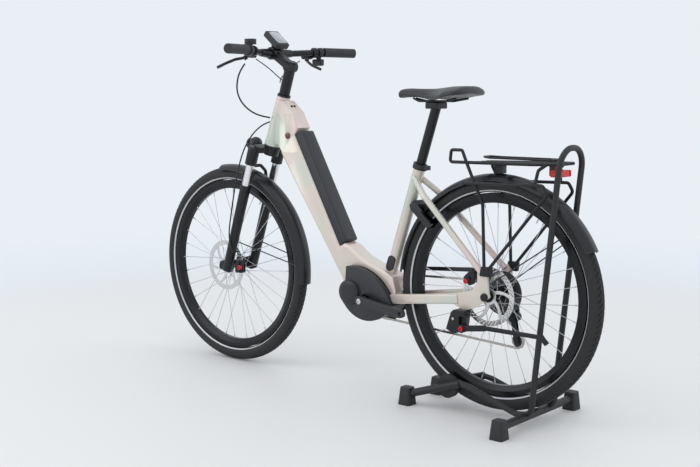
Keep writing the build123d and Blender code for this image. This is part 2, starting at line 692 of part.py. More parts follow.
def display():
    "Head unit tilted towards the rider on its clamp above the stem."
    tilt = Rot(0, 40, 0)
    case = fillet(Box(78, 62, 22).edges(), 5.0)
    case = Pos(-352, 0, 1168) * tilt * case
    foot = Pos(-352, 0, 1149) * Box(22, 30, 16)
    foot -= rod((BAR_REACH, -60, BAR_HEIGHT), (BAR_REACH, 60, BAR_HEIGHT), BAR_CLAMP_R + 6)
    return case + foot - rod((BAR_REACH, -60, BAR_HEIGHT), (BAR_REACH, 60, BAR_HEIGHT), BAR_CLAMP_R + 6)


def bar_controls():
    "Bell and assist remote on the left, shifter on the right."
    bell_bar = along_grip(-31, -1)
    bell = rod(along_grip(-36, -1), along_grip(-26, -1), 15.5)
    bell += Pos(bell_bar.X, bell_bar.Y, bell_bar.Z + 14) * Cylinder(7, 10, align=LOWEST_FIRST)
    bell += Pos(bell_bar.X, bell_bar.Y, bell_bar.Z + 20) * Cylinder(20, 18, align=LOWEST_FIRST)
    remote = rod(along_grip(-20, -1), along_grip(-1, -1), 20.0)
    shifter = rod(along_grip(-18, 1), along_grip(-4, 1), 17.0)
    spot = along_grip(-9, 1) + Vector(-12, 0, -35)
    shifter += Pos(spot.X, spot.Y, spot.Z) * fillet(Box(44, 20, 24).edges(), 5.0)
    shifter += beam(along_grip(-9, 1) + Vector(-8, 0, -14), spot, 12, 12)
    return [piece - handlebar() for piece in (bell, remote, shifter)]


LEVER_PIVOT_D = -34.0
LEVER_PIN_R = 3.0


def lever_pivot(side):
    d = LEVER_PIVOT_D if side > 0 else LEVER_PIVOT_D - 18
    return along_grip(d, side) + Vector(-36, 0, -22)


def brake_masters():
    "Bar clamps with the brake pumps and the levers' pins."
    made = []
    for side in (-1, 1):
        pivot = lever_pivot(side)
        at = LEVER_PIVOT_D if side > 0 else LEVER_PIVOT_D - 18
        bar_at = along_grip(at, side)
        body = rod(along_grip(at - 7, side), along_grip(at + 7, side), 18.0)
        body += beam(bar_at + Vector(-12, 0, -6), pivot + Vector(14, 0, 8), 14, 18)
        body += rod(pivot + Vector(12, side * -34, 8), pivot + Vector(12, side * 5, 8), 9.0)
        body -= handlebar()
        body -= rod(pivot + Vector(0, 0, -8), pivot + Vector(0, 0, 8.0), 13.0)
        pin = rod(pivot + Vector(0, 0, -9), pivot + Vector(0, 0, 10), LEVER_PIN_R)
        arm = pin + beam(pivot + Vector(0, 0, 10), pivot + Vector(13, 0, 10), 12, 5)
        made.append(body + arm)
    return made


def brake_lever(side):
    "A bent blade on its pin, reaching out along the grip."
    pivot = lever_pivot(side)
    line = [(0, 0, 0), (-22, 26, -6), (-32, 62, -20), (-26, 104, -34)]
    pts = [tuple(pivot + Vector(x, side * y, z)) for x, y, z in line]
    blade = pipe(pts, 5.0, [16.0, 40.0])
    boss = rod(pivot + Vector(0, 0, -6), pivot + Vector(0, 0, 6), 8.0)
    return blade + boss - rod(pivot + Vector(0, 0, -12), pivot + Vector(0, 0, 12), LEVER_PIN_R + RUN_FIT)


def headlight():
    spot = steer(461, 82)
    shell = Pos(spot.X, 0, spot.Z) * Sphere(24)
    shell &= Pos(spot.X + 6, 0, spot.Z) * Box(50, 60, 60)
    shell += rod(spot + Vector(-16, 0, -3), spot + Vector(-24, 0, -5), 21.0)
    arm = beam(steer(461, 34.0), steer(461, 66), 14, 8)
    return shell + arm


# ---- soft, rack, guards -------------------------------------------------------------------
def rear_rack():
    "Welded tube rack: platform, raised loop at its left front, struts, pannier rails and diagonals."
    r = RACK_TUBE_R
    made = None
    for side in (-1, 1):
        rear_end = [(800, 44, RACK_Z + 2), (720, RACK_HALF, RACK_Z)]
        raised = [(436, RACK_HALF, RACK_Z - 3), (440, RACK_HALF, RACK_Z + 34), (480, RACK_HALF, RACK_Z + 34)]
        strut = [(500, RACK_HALF + 3, RACK_Z - 6), (566, PANNIER_Y, 655), (574, PANNIER_Y, 462)]
        loop = rear_end + raised + strut if side < 0 else rear_end + strut
        loop_bends = [60.0, 8.0, 8.0, 8.0, 16.0, 30.0] if side < 0 else [60.0, 12.0, 30.0]
        rail = [(496, PANNIER_Y, 716), (768, PANNIER_Y, 722),
                (784, PANNIER_Y, 696), (590, PANNIER_Y + 2, 462)]
        arch = [(742, PANNIER_Y, 720), (746, RACK_HALF + 2, 764), (766, RACK_HALF - 8, RACK_Z)]
        bent = ((loop, loop_bends), (rail, [12.0, 12.0]), (arch, [14.0]))
        for points, bends in bent:
            tube = pipe([(x, side * y, z) for x, y, z in points], r, bends)
            made = tube if made is None else made + tube
        inner, outer = sorted((side * (DROPOUT_IN + DROPOUT_T), side * (PANNIER_Y + 5)))
        foot = flat(outline([(560, 440), (600, 440), (604, 470), (566, 470)], 4.0), inner, outer)
        made += foot
    for side in (-1, 1):
        made -= seat_stay(side)
    made += rod((800, -44, RACK_Z + 2), (800, 44, RACK_Z + 2), r)
    for x in (520, 610, 700):
        made += block((x - 9, x + 9), (-RACK_HALF, RACK_HALF), (RACK_Z - 3, RACK_Z))
    for y in (-26, 0, 26):
        made += rod((512, y, RACK_Z - 2), (800, y, RACK_Z + 2), 3.0)
    made += block((565, 591), (-14, 14), (GUARD_R + REAR.Z + 0.2, RACK_Z - 3))
    return made


def rack_clamp():
    "Sprung load clamp lying on the platform, hinged at the rear."
    z = RACK_Z + 12.5
    path = [(770, -30, z), (560, -34, z), (530, -20, z + 2), (530, 20, z + 2), (560, 34, z), (770, 30, z)]
    hoop = pipe(path, 3.0, [12.0, 12.0, 12.0, 12.0])
    return hoop + rod((770, -36, z), (770, 36, z), 4.5)


def tail_light():
    body = fillet(block((768, 800), (-34, 34), (744, 764)).edges(), 3.0)
    return [body, block((750, 768), (-8, 8), (RACK_Z - 34, RACK_Z - 6))]


def mudguard_stays(start, end):
    made = []
    for side in (-1, 1):
        a = Vector(start[0], side * start[1], start[2])
        b = Vector(end[0], side * end[1], end[2])
        made.append(rod(a, b, 2.0))
    return made


def ring_lock():
    "Horseshoe frame lock around the tyre ahead of the seat stays, with its key barrel."
    away = 139.0
    place = Plane(origin=REAR, x_dir=(0, 1, 0), z_dir=(sin(radians(away)), 0, -cos(radians(away))))
    shape = outline([(-52, 384), (-40, 402), (40, 402), (52, 384), (50, 296), (36, 296), (34, 380),
                     (-34, 380), (-36, 296), (-50, 296)], 2.0)
    return extrude(place * shape, amount=11, both=True)


def kickstand_bracket():
    top = outline([(478, 330), (470, 322), (452, 268), (478, 256), (512, 266), (520, 330)], 4.0)
    body = flat(top, -96, -60)
    body -= dropout_plate(-1)
    body -= block((500, 536), (-112, -84), (244, 312))
    return body


def kickstand_leg():
    "Folded leg with its pivot boss and foot."
    pivot = (517.0, 278.0)
    solid = ring_y(pivot, 13.0, 0, -109, -85.5)
    solid += beam((517, -101, 278), (600, -103, 290), 11, 18, 3.0)
    solid += beam((598, -103, 290), (800, -106, 290), 10, 13, 3.0)
    solid += beam((792, -106, 294), (812, -106, 272), 14, 12, 3.0)
    return solid


# ---- seat, battery, cords -----------------------------------------------------------------
def seat_post():
    "Post with its head and the saddle's two rails."
    low = seat(SEAT_TOP_S - 80)
    head_s = (POST_HEAD_Z - SEAT_FOOT[1]) / SEAT_UP.Z
    head = seat(head_s)
    solid = rod(low, head, POST_R)
    solid += Pos(head.X, 0, head.Z + 6) * fillet(Box(46, 56, 20).edges(), 3.0)
    rails = []
    for side in (-1, 1):
        y = side * 21.0
        points = [(head.X - 84, side * 6, SADDLE_BASE_Z - 4), (head.X - 52, y, head.Z + 19.5),
                  (head.X + 52, y, head.Z + 19.5), (head.X + 98, side * 34, SADDLE_BASE_Z - 4)]
        rails.append(pipe(points, 3.5, [20.0, 20.0]))
    for rail in rails:
        solid += rail
    return solid


def saddle():
    "Padded shell: a narrow nose widening to the sitting area."
    end = SADDLE_NOSE + SADDLE_LENGTH
    half = SADDLE_WIDTH / 2
    side = [(SADDLE_NOSE + 8, 14), (SADDLE_NOSE + 60, 20), (SADDLE_NOSE + 130, 30), (end - 120, half * 0.68),
            (end - 60, half), (end - 18, half - 6), (end - 2, half * 0.5)]
    face = outline(side + [(x, -y) for x, y in reversed(side)], 5.0)
    body = extrude(Plane.XY.offset(SADDLE_BASE_Z - 4 + 3.6) * face, SADDLE_DEPTH)
    return fillet(body.edges().group_by(Axis.Z)[-1], 4.0)


def battery():
    return battery_solid()


BRAKE_HOSE = [(-310, -196, 1082), (-316, -212, 1060), (-325, -218, 1028), (-338, -208, 990),
              (-352, -176, 956), (-362, -134, 930), (-368, -92, 913), (-371, -48, 903), (-365, -23, 899)]
FRONT_HOSE = [(-379, -8, 884), (-394, -19, 878), (-409, -42, 859), (-421, -67, 829), (-433, -87, 786),
              (-447, -95, 736), (-463, -96, 682), (-480, -94, 618), (-497, -92, 548), (-508, -92, 492),
              (-508, -89, 448), (-500, -80, 412)]
CABLE_LEFT = [(-336, -118, 1100), (-332, -92, 1086), (-322, -64, 1066), (-312, -40, 1044), (-307, -22, 1030)]
CABLE_RIGHT = [(-338, 104, 1098), (-344, 74, 1080), (-344, 44, 1060), (-340, 16, 1044), (-332, -4, 1030),
               (-322, -15, 1021)]


# ---- stand --------------------------------------------------------------------------------
def front_leg_at(x, side):
    "A place on a front leg's axis."
    share = (486.0 - x) / 186.0
    return Vector(x, side * (STAND_HALF + share * 19.0), 95.0 - share * 61.0)


def stand_frame():
    "One bent tube for the rails and the hoop, with thicker front legs."
    half = STAND_HALF
    side = [(478, 96), (520, 90), (690, 36), (742, 44), (748, 130), (821, STAND_TOP - STAND_TUBE_R)]
    left = [(x, -half, z) for x, z in side]
    path = left + [(x, -y, z) for x, y, z in reversed(left)]
    bends = [30.0, 60.0, 30.0, 200.0, half - 5]
    tube = pipe(path, STAND_TUBE_R, bends + bends[::-1])
    for s in (-1, 1):
        tube += rod((486, s * half, 95), (300, s * 84, 34), STAND_LEG_R)
        spot = front_leg_at(ROLLER_X, s)
        tube += rod((ROLLER_X, s * (ROLLER_Y[0] - 4), ROLLER_Z), (ROLLER_X, spot.Y, ROLLER_Z), 4.0)
        head = sorted((s * (ROLLER_Y[0] - 3.5), s * (ROLLER_Y[0] - 0.5)))
        tube += ring_y((ROLLER_X, ROLLER_Z), 7.0, 0, *head)
    for y in (-half, half):
        tube -= rod((STAND_BAR_X, y - 20, STAND_BAR_Z), (STAND_BAR_X, y + 20, STAND_BAR_Z), STAND_LEG_R)
    return tube


def stand_crossbar():
    "Rear floor bar, which ends inside its two feet."
    end = STAND_BAR_HALF - 8
    return rod((STAND_BAR_X, -end, STAND_BAR_Z), (STAND_BAR_X, end, STAND_BAR_Z), STAND_LEG_R)


def foot_cap(x, y):
    "A tapered rubber cap."
    base = Plane.XY * RectangleRounded(FOOT_SIDE, FOOT_SIDE, 8)
    top = Plane.XY.offset(FOOT_HEIGHT) * RectangleRounded(FOOT_SIDE - 10, FOOT_SIDE - 10, 8)
    return Pos(x, y, 0) * loft([base.face(), top.face()])


def stand_feet():
    bar = stand_crossbar()
    made = []
    for side in (-1, 1):
        made.append(foot_cap(STAND_BAR_X, side * (STAND_BAR_HALF - FOOT_SIDE / 2)) - bar)
        leg = rod((486, side * STAND_HALF, 95), (300, side * 84, 34), STAND_LEG_R)
        made.append(foot_cap(296, side * 84) - leg)
    return made


def stand_roller(side):
    y0, y1 = sorted((side * ROLLER_Y[0], side * ROLLER_Y[1]))
    wheel = ring_y((ROLLER_X, ROLLER_Z), ROLLER_R, 4.0 + RUN_FIT, y0, y1)
    groove = around(Vector(ROLLER_X, 0, ROLLER_Z), Pos((y0 + y1) / 2, ROLLER_R) * Circle(3.0))
    return wheel - groove


# ---- the nodes ----------------------------------------------------------------------------
FRONT_FLANGES = (-28.0, 32.0)
REAR_FLANGES = (-32.0, 20.0)
STAY_SIDE = GUARD_HALF + 2.6
REAR_STAY_END = (REAR.X + 272, STAY_SIDE, REAR.Z + 218)
FRONT_STAY_START = (steer(95, LEG_OFFSET).X + 14, LOWER_LEG_R + 28, 448.0)
FRONT_STAY_END = (FRONT.X + 346, STAY_SIDE, FRONT.Z + 30)

nodes = {
    "head_tube": head_tube(),
    "down_tube": down_tube(),
    "motor_bracket": motor_bracket(),
    "seat_tube": seat_tube(),
    "seat_stays": [seat_stay(-1), seat_stay(1)],
    "chain_stays": [chain_stay(-1), chain_stay(1)],
    "frame_fittings": frame_fittings() + [port_cover()],
    "motor_unit": motor_unit(),
    "motor_covers": motor_covers(),
    "battery": battery(),
    "seat_post": seat_post(),
    "saddle": saddle(),
    "rear_mudguard": [mudguard(REAR, -84, 148)] + mudguard_stays((596, 75, 418), REAR_STAY_END),
    "rear_rack": rear_rack(),
    "rack_clamp": rack_clamp(),
    "tail_light": tail_light(),
    "rear_caliper": caliper(REAR, 134, REAR_DISC_Y, 13.0),
    "chain": chain(),
    "chain_guard": chain_guard(),
    "derailleur": derailleur(),
    "guide_pulley": pulley(GUIDE_PULLEY),
    "tension_pulley": pulley(TENSION_PULLEY),
    "ring_lock": ring_lock(),
    "kickstand_bracket": kickstand_bracket(),
    "kickstand_leg": kickstand_leg(),
    "rear_axle": rear_axle(),
    "crank_arms": [crank_arm(-1), crank_arm(1), ring_y(CRANK_AXLE, SPINDLE_R, 0, -88, 88)],
    "chainring": chainring(),
    "cassette": cassette(),
    "rear_tyre": tyre(REAR),
    "rear_rim": rim(REAR),
    "rear_spokes": spokes(REAR, REAR_FLANGES),
    "rear_hub": hub(REAR, REAR_FLANGES, (-61.5, 61.5), 17.0, 6.0 + RUN_FIT, REAR_DISC_Y),
    "rear_disc": brake_disc(REAR, REAR_DISC_Y),
    "fork_crown": fork_crown(),
    "stem": stem(),
    "handlebar": handlebar(),
    "grips": grips(),
    "display": display(),
    "bar_controls": bar_controls(),
    "brake_masters": brake_masters(),
    "brake_lever_left": brake_lever(-1),
    "brake_lever_right": brake_lever(1),
    "headlight": headlight(),
    "fork_lowers": fork_lowers(),
    "front_axle": front_axle(),
    "front_caliper": caliper(FRONT, 2, FRONT_DISC_Y, 12.0),
    "front_mudguard": [mudguard(FRONT, -8, 104)] + mudguard_stays(FRONT_STAY_START, FRONT_STAY_END),
    "front_tyre": tyre(FRONT),
    "front_rim": rim(FRONT),
    "front_spokes": spokes(FRONT, FRONT_FLANGES),
    "front_hub": hub(FRONT, FRONT_FLANGES, (-49.5, 49.5), 15.0, 7.5 + RUN_FIT, FRONT_DISC_Y),
    "front_disc": brake_disc(FRONT, FRONT_DISC_Y),
    "bar_cables": [cord("brake hose", BRAKE_HOSE, 2.8), cord("left cable", CABLE_LEFT, 1.8),
                   cord("right cable", CABLE_RIGHT, 1.8)],
    "front_brake_hose": cord("front brake hose", FRONT_HOSE, 2.5),
    "stand_frame": stand_frame(),
    "stand_crossbar": stand_crossbar(),
    "stand_feet": stand_feet(),
    "stand_roller_left": stand_roller(-1),
    "stand_roller_right": stand_roller(1),
}

os.makedirs("parts", exist_ok=True)
for name, shape in nodes.items():
    pieces = shape if isinstance(shape, list) else [shape]
    solids = [solid for piece in pieces for solid in piece.solids()]
    whole = solids[0] if len(solids) == 1 else Compound(children=solids)
    whole.label = name
    export_step(whole, f"parts/{name}.step")
print(len(nodes), "nodes")
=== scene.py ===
import json
import math

import bmesh
import bpy
import numpy as np
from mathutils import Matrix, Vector


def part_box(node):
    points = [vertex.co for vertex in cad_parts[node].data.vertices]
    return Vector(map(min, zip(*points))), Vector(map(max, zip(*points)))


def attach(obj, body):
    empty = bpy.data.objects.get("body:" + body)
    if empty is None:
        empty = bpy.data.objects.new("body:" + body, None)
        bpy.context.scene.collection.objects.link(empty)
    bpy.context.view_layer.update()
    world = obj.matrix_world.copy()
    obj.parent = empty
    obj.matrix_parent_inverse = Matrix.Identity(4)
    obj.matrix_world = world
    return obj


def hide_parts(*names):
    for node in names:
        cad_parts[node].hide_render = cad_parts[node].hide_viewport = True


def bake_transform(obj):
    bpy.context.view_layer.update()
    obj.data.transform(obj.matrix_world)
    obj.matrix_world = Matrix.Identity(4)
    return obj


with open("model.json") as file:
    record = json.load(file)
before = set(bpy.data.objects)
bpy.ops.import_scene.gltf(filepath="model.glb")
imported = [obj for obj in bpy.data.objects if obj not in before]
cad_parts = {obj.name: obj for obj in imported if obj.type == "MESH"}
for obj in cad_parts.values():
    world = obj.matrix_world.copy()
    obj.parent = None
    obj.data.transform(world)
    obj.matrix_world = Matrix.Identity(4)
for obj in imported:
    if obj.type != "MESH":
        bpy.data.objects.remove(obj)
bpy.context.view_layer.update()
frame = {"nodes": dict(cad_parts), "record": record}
print("frame loaded:", len(frame["nodes"]), "nodes")


def middle(node):
    low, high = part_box(node)
    return np.array((low + high) / 2)


# axles and directions that most pieces use
frontAxle = middle("front_rim")
rearAxle = middle("rear_rim")
crankAxle = middle("chainring")
guideAxle = middle("guide_pulley")
tensionAxle = middle("tension_pulley")
headAngle = math.radians(72)
forkOffset = 0.054
steerUp = np.array((math.cos(headAngle), 0, math.sin(headAngle)))
steerForward = np.array((-math.sin(headAngle), 0, math.cos(headAngle)))
steerFoot = frontAxle - steerForward * forkOffset


def onSteer(up, forward=0.0, side=0.0):
    return steerFoot + steerUp * up + steerForward * forward + np.array((0, side, 0))


cameraSet = {"place": (2.4211, -2.8642, 0.9846), "down": 7.121, "turn": 40.383, "lens": 57.82}
cameraData = bpy.data.cameras.new("camera")
cameraData.lens = cameraSet["lens"]
cameraObject = bpy.data.objects.new("camera", cameraData)
cameraObject.location = cameraSet["place"]
cameraObject.rotation_euler = (math.radians(90 - cameraSet["down"]), 0, math.radians(cameraSet["turn"]))
bpy.context.collection.objects.link(cameraObject)
bpy.context.scene.camera = cameraObject


def newGroup(name, inputs, outputs):
    group = bpy.data.node_groups.new(name, "ShaderNodeTree")
    for label, kind, value in inputs:
        socket = group.interface.new_socket(label, in_out="INPUT", socket_type=kind)
        if value is not None:
            socket.default_value = value
    for label, kind in outputs:
        group.interface.new_socket(label, in_out="OUTPUT", socket_type=kind)
    return group, group.nodes.new("NodeGroupInput"), group.nodes.new("NodeGroupOutput")


def speckleGroup():
    # fine moulded grain: noise at a given scale gives a height, and shifts colour and roughness a little
    group, into, out = newGroup(
        "speckle",
        [("Scale", "NodeSocketFloat", 400.0), ("Base", "NodeSocketColor", (0.04, 0.04, 0.04, 1)),
         ("Shift", "NodeSocketFloat", 0.2), ("Rough", "NodeSocketFloat", 0.5),
         ("Spread", "NodeSocketFloat", 0.1)],
        [("Color", "NodeSocketColor"), ("Roughness", "NodeSocketFloat"), ("Height", "NodeSocketFloat")])
    make, link = group.nodes.new, group.links.new
    place = make("ShaderNodeTexCoord")
    fine = make("ShaderNodeTexNoise")
    fine.inputs["Detail"].default_value = 3.0
    wide = make("ShaderNodeTexNoise")
    wide.inputs["Scale"].default_value = 9.0
    wide.inputs["Detail"].default_value = 4.0
    link(place.outputs["Object"], fine.inputs["Vector"])
    link(place.outputs["Object"], wide.inputs["Vector"])
    link(into.outputs["Scale"], fine.inputs["Scale"])
    both = make("ShaderNodeMath")
    both.operation = "ADD"
    link(fine.outputs["Fac"], both.inputs[0])
    link(wide.outputs["Fac"], both.inputs[1])
    centred = make("ShaderNodeMath")
    centred.operation = "SUBTRACT"
    centred.inputs[1].default_value = 1.0
    link(both.outputs[0], centred.inputs[0])
    lift = make("ShaderNodeMath")
    lift.operation = "MULTIPLY_ADD"
    lift.inputs[2].default_value = 1.0
    link(centred.outputs[0], lift.inputs[0])
    link(into.outputs["Shift"], lift.inputs[1])
    shade = make("ShaderNodeVectorMath")
    shade.operation = "SCALE"
    link(into.outputs["Base"], shade.inputs[0])
    link(lift.outputs[0], shade.inputs["Scale"])
    rough = make("ShaderNodeMath")
    rough.operation = "MULTIPLY_ADD"
    rough.use_clamp = True
    link(centred.outputs[0], rough.inputs[0])
    link(into.outputs["Spread"], rough.inputs[1])
    link(into.outputs["Rough"], rough.inputs[2])
    link(shade.outputs["Vector"], out.inputs["Color"])
    link(rough.outputs[0], out.inputs["Roughness"])
    link(fine.outputs["Fac"], out.inputs["Height"])
    return group


def halfSpaceGroup():
    # 1 on the far side of a plane given by its normal and its distance along it, in metres
    group, into, out = newGroup(
        "beyondPlane",
        [("Normal", "NodeSocketVector", (0, 0, 1)), ("Distance", "NodeSocketFloat", 0.0)],
        [("Mask", "NodeSocketFloat")])
    make, link = group.nodes.new, group.links.new
    place = make("ShaderNodeTexCoord")
    dot = make("ShaderNodeVectorMath")
    dot.operation = "DOT_PRODUCT"
    link(place.outputs["Object"], dot.inputs[0])
    link(into.outputs["Normal"], dot.inputs[1])
    test = make("ShaderNodeMath")
    test.operation = "GREATER_THAN"
    link(dot.outputs["Value"], test.inputs[0])
    link(into.outputs["Distance"], test.inputs[1])
    link(test.outputs[0], out.inputs["Mask"])
    return group


speckle = speckleGroup()
beyondPlane = halfSpaceGroup()


def finish(name, base, rough, metal=0.0, scale=400.0, shift=0.25, spread=0.1, bump=0.1, depth=0.0002,
           coat=0.0, coatRough=0.1, specular=0.5, sheen=0.0):
    # a principled shader whose colour, roughness and bump come from the speckle group
    material = bpy.data.materials.new(name)
    material.use_nodes = True
    tree = material.node_tree
    shader = tree.nodes["Principled BSDF"]
    shader.inputs["Metallic"].default_value = metal
    shader.inputs["Specular IOR Level"].default_value = specular
    shader.inputs["Coat Weight"].default_value = coat
    shader.inputs["Coat Roughness"].default_value = coatRough
    shader.inputs["Sheen Weight"].default_value = sheen
    grain = tree.nodes.new("ShaderNodeGroup")
    grain.node_tree = speckle
    grain.inputs["Scale"].default_value = scale
    grain.inputs["Base"].default_value = (*base, 1)
    grain.inputs["Shift"].default_value = shift
    grain.inputs["Rough"].default_value = rough
    grain.inputs["Spread"].default_value = spread
    tree.links.new(grain.outputs["Color"], shader.inputs["Base Color"])
    tree.links.new(grain.outputs["Roughness"], shader.inputs["Roughness"])
    dent = tree.nodes.new("ShaderNodeBump")
    dent.inputs["Strength"].default_value = bump
    dent.inputs["Distance"].default_value = depth
    tree.links.new(grain.outputs["Height"], dent.inputs["Height"])
    tree.links.new(dent.outputs["Normal"], shader.inputs["Normal"])
    return material


pearl = {"base": (0.80, 0.765, 0.70), "rough": 0.34, "metal": 0.25, "grain": 900.0, "drift": 7.0,
         "tints": ((0.36, (0.55, 0.60, 0.52, 1)), (0.62, (0.69, 0.56, 0.51, 1))),
         "champagne": (0.49, (0.66, 0.60, 0.51, 1))}


def pearlPaint():
    # pale champagne under clear coat, drifting between a green and a pink tint
    material = finish("pearlPaint", pearl["base"], pearl["rough"], metal=pearl["metal"], scale=pearl["grain"],
                      shift=0.06, spread=0.05, bump=0.03, coat=1.0, coatRough=0.08)
    tree = material.node_tree
    shader = tree.nodes["Principled BSDF"]
    place = tree.nodes.new("ShaderNodeTexCoord")
    drift = tree.nodes.new("ShaderNodeTexNoise")
    drift.inputs["Scale"].default_value = pearl["drift"]
    drift.inputs["Detail"].default_value = 1.5
    ramp = tree.nodes.new("ShaderNodeValToRGB")
    for element, (position, colour) in zip(ramp.color_ramp.elements, pearl["tints"]):
        element.position = position
        element.color = colour
    position, colour = pearl["champagne"]
    ramp.color_ramp.elements.new(position).color = colour
    tree.links.new(place.outputs["Object"], drift.inputs["Vector"])
    tree.links.new(drift.outputs["Fac"], ramp.inputs["Fac"])
    tree.links.new(ramp.outputs["Color"], shader.inputs["Base Color"])
    return material


def splitFinish(name, near, far, normal, distance):
    # two surfaces either side of a plane: near and far are (colour, metallic, roughness)
    material = bpy.data.materials.new(name)
    material.use_nodes = True
    tree = material.node_tree
    shader = tree.nodes["Principled BSDF"]
    cut = tree.nodes.new("ShaderNodeGroup")
    cut.node_tree = beyondPlane
    cut.inputs["Normal"].default_value = tuple(normal)
    cut.inputs["Distance"].default_value = distance
    colour = tree.nodes.new("ShaderNodeMix")
    colour.data_type = "RGBA"
    colour.inputs["A"].default_value = (*near[0], 1)
    colour.inputs["B"].default_value = (*far[0], 1)
    tree.links.new(cut.outputs["Mask"], colour.inputs["Factor"])
    tree.links.new(colour.outputs["Result"], shader.inputs["Base Color"])
    for socket, index in (("Metallic", 1), ("Roughness", 2)):
        value = tree.nodes.new("ShaderNodeMapRange")
        value.inputs["To Min"].default_value = near[index]
        value.inputs["To Max"].default_value = far[index]
        tree.links.new(cut.outputs["Mask"], value.inputs["Value"])
        tree.links.new(value.outputs["Result"], shader.inputs[socket])
    return material


black = (0.010, 0.011, 0.013)
finishes = {
    "pearlPaint": pearlPaint(),
    "satinBlack": finish("satinBlack", black, 0.38, metal=0.3, scale=700, bump=0.08),
    "powderBlack": finish("powderBlack", (0.012, 0.0125, 0.014), 0.5, scale=500, bump=0.25, depth=0.0003),
    "glossPlastic": finish("glossPlastic", (0.008, 0.009, 0.012), 0.3, scale=300, bump=0.05),
    "mattePlastic": finish("mattePlastic", (0.014, 0.015, 0.018), 0.5, scale=900, bump=0.3, depth=0.0002),
    "motorShell": finish("motorShell", (0.020, 0.021, 0.025), 0.42, scale=1200, bump=0.25, depth=0.00015),
    "batteryShell": finish("batteryShell", (0.011, 0.013, 0.017), 0.4, scale=700, bump=0.15),
    "casting": finish("casting", (0.06, 0.06, 0.062), 0.55, metal=0.6, scale=350, bump=0.4, depth=0.0004),
    "groundSteel": finish("groundSteel", (0.62, 0.62, 0.61), 0.3, metal=1.0, scale=600, bump=0.1),
    "oiledSteel": finish("oiledSteel", (0.42, 0.40, 0.37), 0.3, metal=1.0, scale=300, shift=0.5, bump=0.15),
    "darkSteel": finish("darkSteel", (0.10, 0.10, 0.105), 0.34, metal=0.9, scale=300, shift=0.5, bump=0.15),
    "spokeSteel": finish("spokeSteel", (0.55, 0.55, 0.57), 0.3, metal=1.0, scale=200, bump=0.0),
    "rimBlack": finish("rimBlack", (0.009, 0.010, 0.012), 0.28, metal=0.5, scale=500, bump=0.05),
    "tyreRubber": finish("tyreRubber", (0.020, 0.020, 0.021), 0.66, scale=260, bump=0.2, depth=0.0004,
                         specular=0.4),
    "gripRubber": finish("gripRubber", (0.022, 0.023, 0.026), 0.6, scale=800, bump=0.3),
    "footRubber": finish("footRubber", (0.018, 0.019, 0.021), 0.6, scale=500, bump=0.3),
    "saddleVinyl": finish("saddleVinyl", (0.013, 0.014, 0.016), 0.45, scale=650, bump=0.5, depth=0.0004,
                          sheen=0.1),
    # painted shade: a darker black than the tyre rubber, for the faces in the tread grooves
    "grooveShadePaint": finish("grooveShadePaint", (0.004, 0.004, 0.0042), 0.8, scale=260, bump=0.1),
    "cableJacket": finish("cableJacket", (0.010, 0.010, 0.011), 0.4, scale=300, bump=0.05),
    "reflexStripe": finish("reflexStripe", (0.62, 0.63, 0.64), 0.35, metal=0.4, scale=900, shift=0.3,
                           bump=0.2),
    "redAnodised": finish("redAnodised", (0.55, 0.01, 0.03), 0.25, metal=0.6, scale=300, bump=0.0, coat=0.4),
    "darkRed": finish("darkRed", (0.10, 0.004, 0.008), 0.2, scale=200, bump=0.0, coat=0.8),
    "screenGlass": finish("screenGlass", (0.33, 0.35, 0.36), 0.09, scale=30, bump=0.0, coat=1.0,
                          coatRough=0.03),
    "lensGlass": finish("lensGlass", (0.55, 0.57, 0.6), 0.1, metal=0.3, scale=120, bump=0.3, coat=1.0),
    "boltSteel": finish("boltSteel", (0.55, 0.55, 0.56), 0.25, metal=1.0, scale=400, bump=0.05),
}
chromeBelow = float(np.dot(onSteer(0.405), steerUp))
lensBehind = 0.7675
blackPlastic = (black, 0.0, 0.4)
lampRed = ((0.62, 0.012, 0.012), 0.0, 0.14)
finishes["forkCrown"] = splitFinish("forkCrown", ((0.83, 0.83, 0.85), 1.0, 0.07), (black, 0.3, 0.36), steerUp,
                                    chromeBelow)
finishes["tailLamp"] = splitFinish("tailLamp", blackPlastic, lampRed, (1, 0, 0), lensBehind)
print("finishes made:", len(finishes))

nodeFinish = {
    "pearlPaint": ["head_tube", "down_tube", "motor_bracket", "seat_tube", "seat_stays", "chain_stays"],
    "satinBlack": ["rear_rack", "rack_clamp", "rear_caliper", "derailleur", "kickstand_bracket",
                   "kickstand_leg", "seat_post", "stem", "handlebar", "fork_lowers", "front_caliper",
                   "rear_hub", "front_hub", "brake_masters", "brake_lever_left", "brake_lever_right",
                   "rear_axle", "front_axle"],
    "powderBlack": ["stand_frame", "stand_crossbar"],
    "glossPlastic": ["rear_mudguard", "front_mudguard", "chain_guard", "ring_lock", "headlight"],
    "mattePlastic": ["frame_fittings", "bar_controls", "display", "guide_pulley", "tension_pulley"],
    "motorShell": ["motor_covers", "crank_arms"],
    "batteryShell": ["battery"],
    "casting": ["motor_unit"],
    "forkCrown": ["fork_crown"],
    "tailLamp": ["tail_light"],
    "oiledSteel": ["chain"],
    "darkSteel": ["chainring", "cassette"],
    "groundSteel": ["rear_disc", "front_disc"],
    "spokeSteel": ["rear_spokes", "front_spokes"],
    "rimBlack": ["rear_rim", "front_rim"],
    "tyreRubber": ["rear_tyre", "front_tyre"],
    "saddleVinyl": ["saddle"],
    "gripRubber": ["grips"],
    "footRubber": ["stand_feet", "stand_roller_left", "stand_roller_right"],
    "cableJacket": ["bar_cables", "front_brake_hose"],
}
finishOfNode = {node: finishes[label] for label, nodes in nodeFinish.items() for node in nodes}
bodyOfNode = {node: body for body, nodes in frame["record"]["behaviour"]["bodies"].items() for node in nodes}
for node, material in finishOfNode.items():
    mesh = frame["nodes"][node].data
    mesh.materials.clear()
    mesh.materials.append(material)


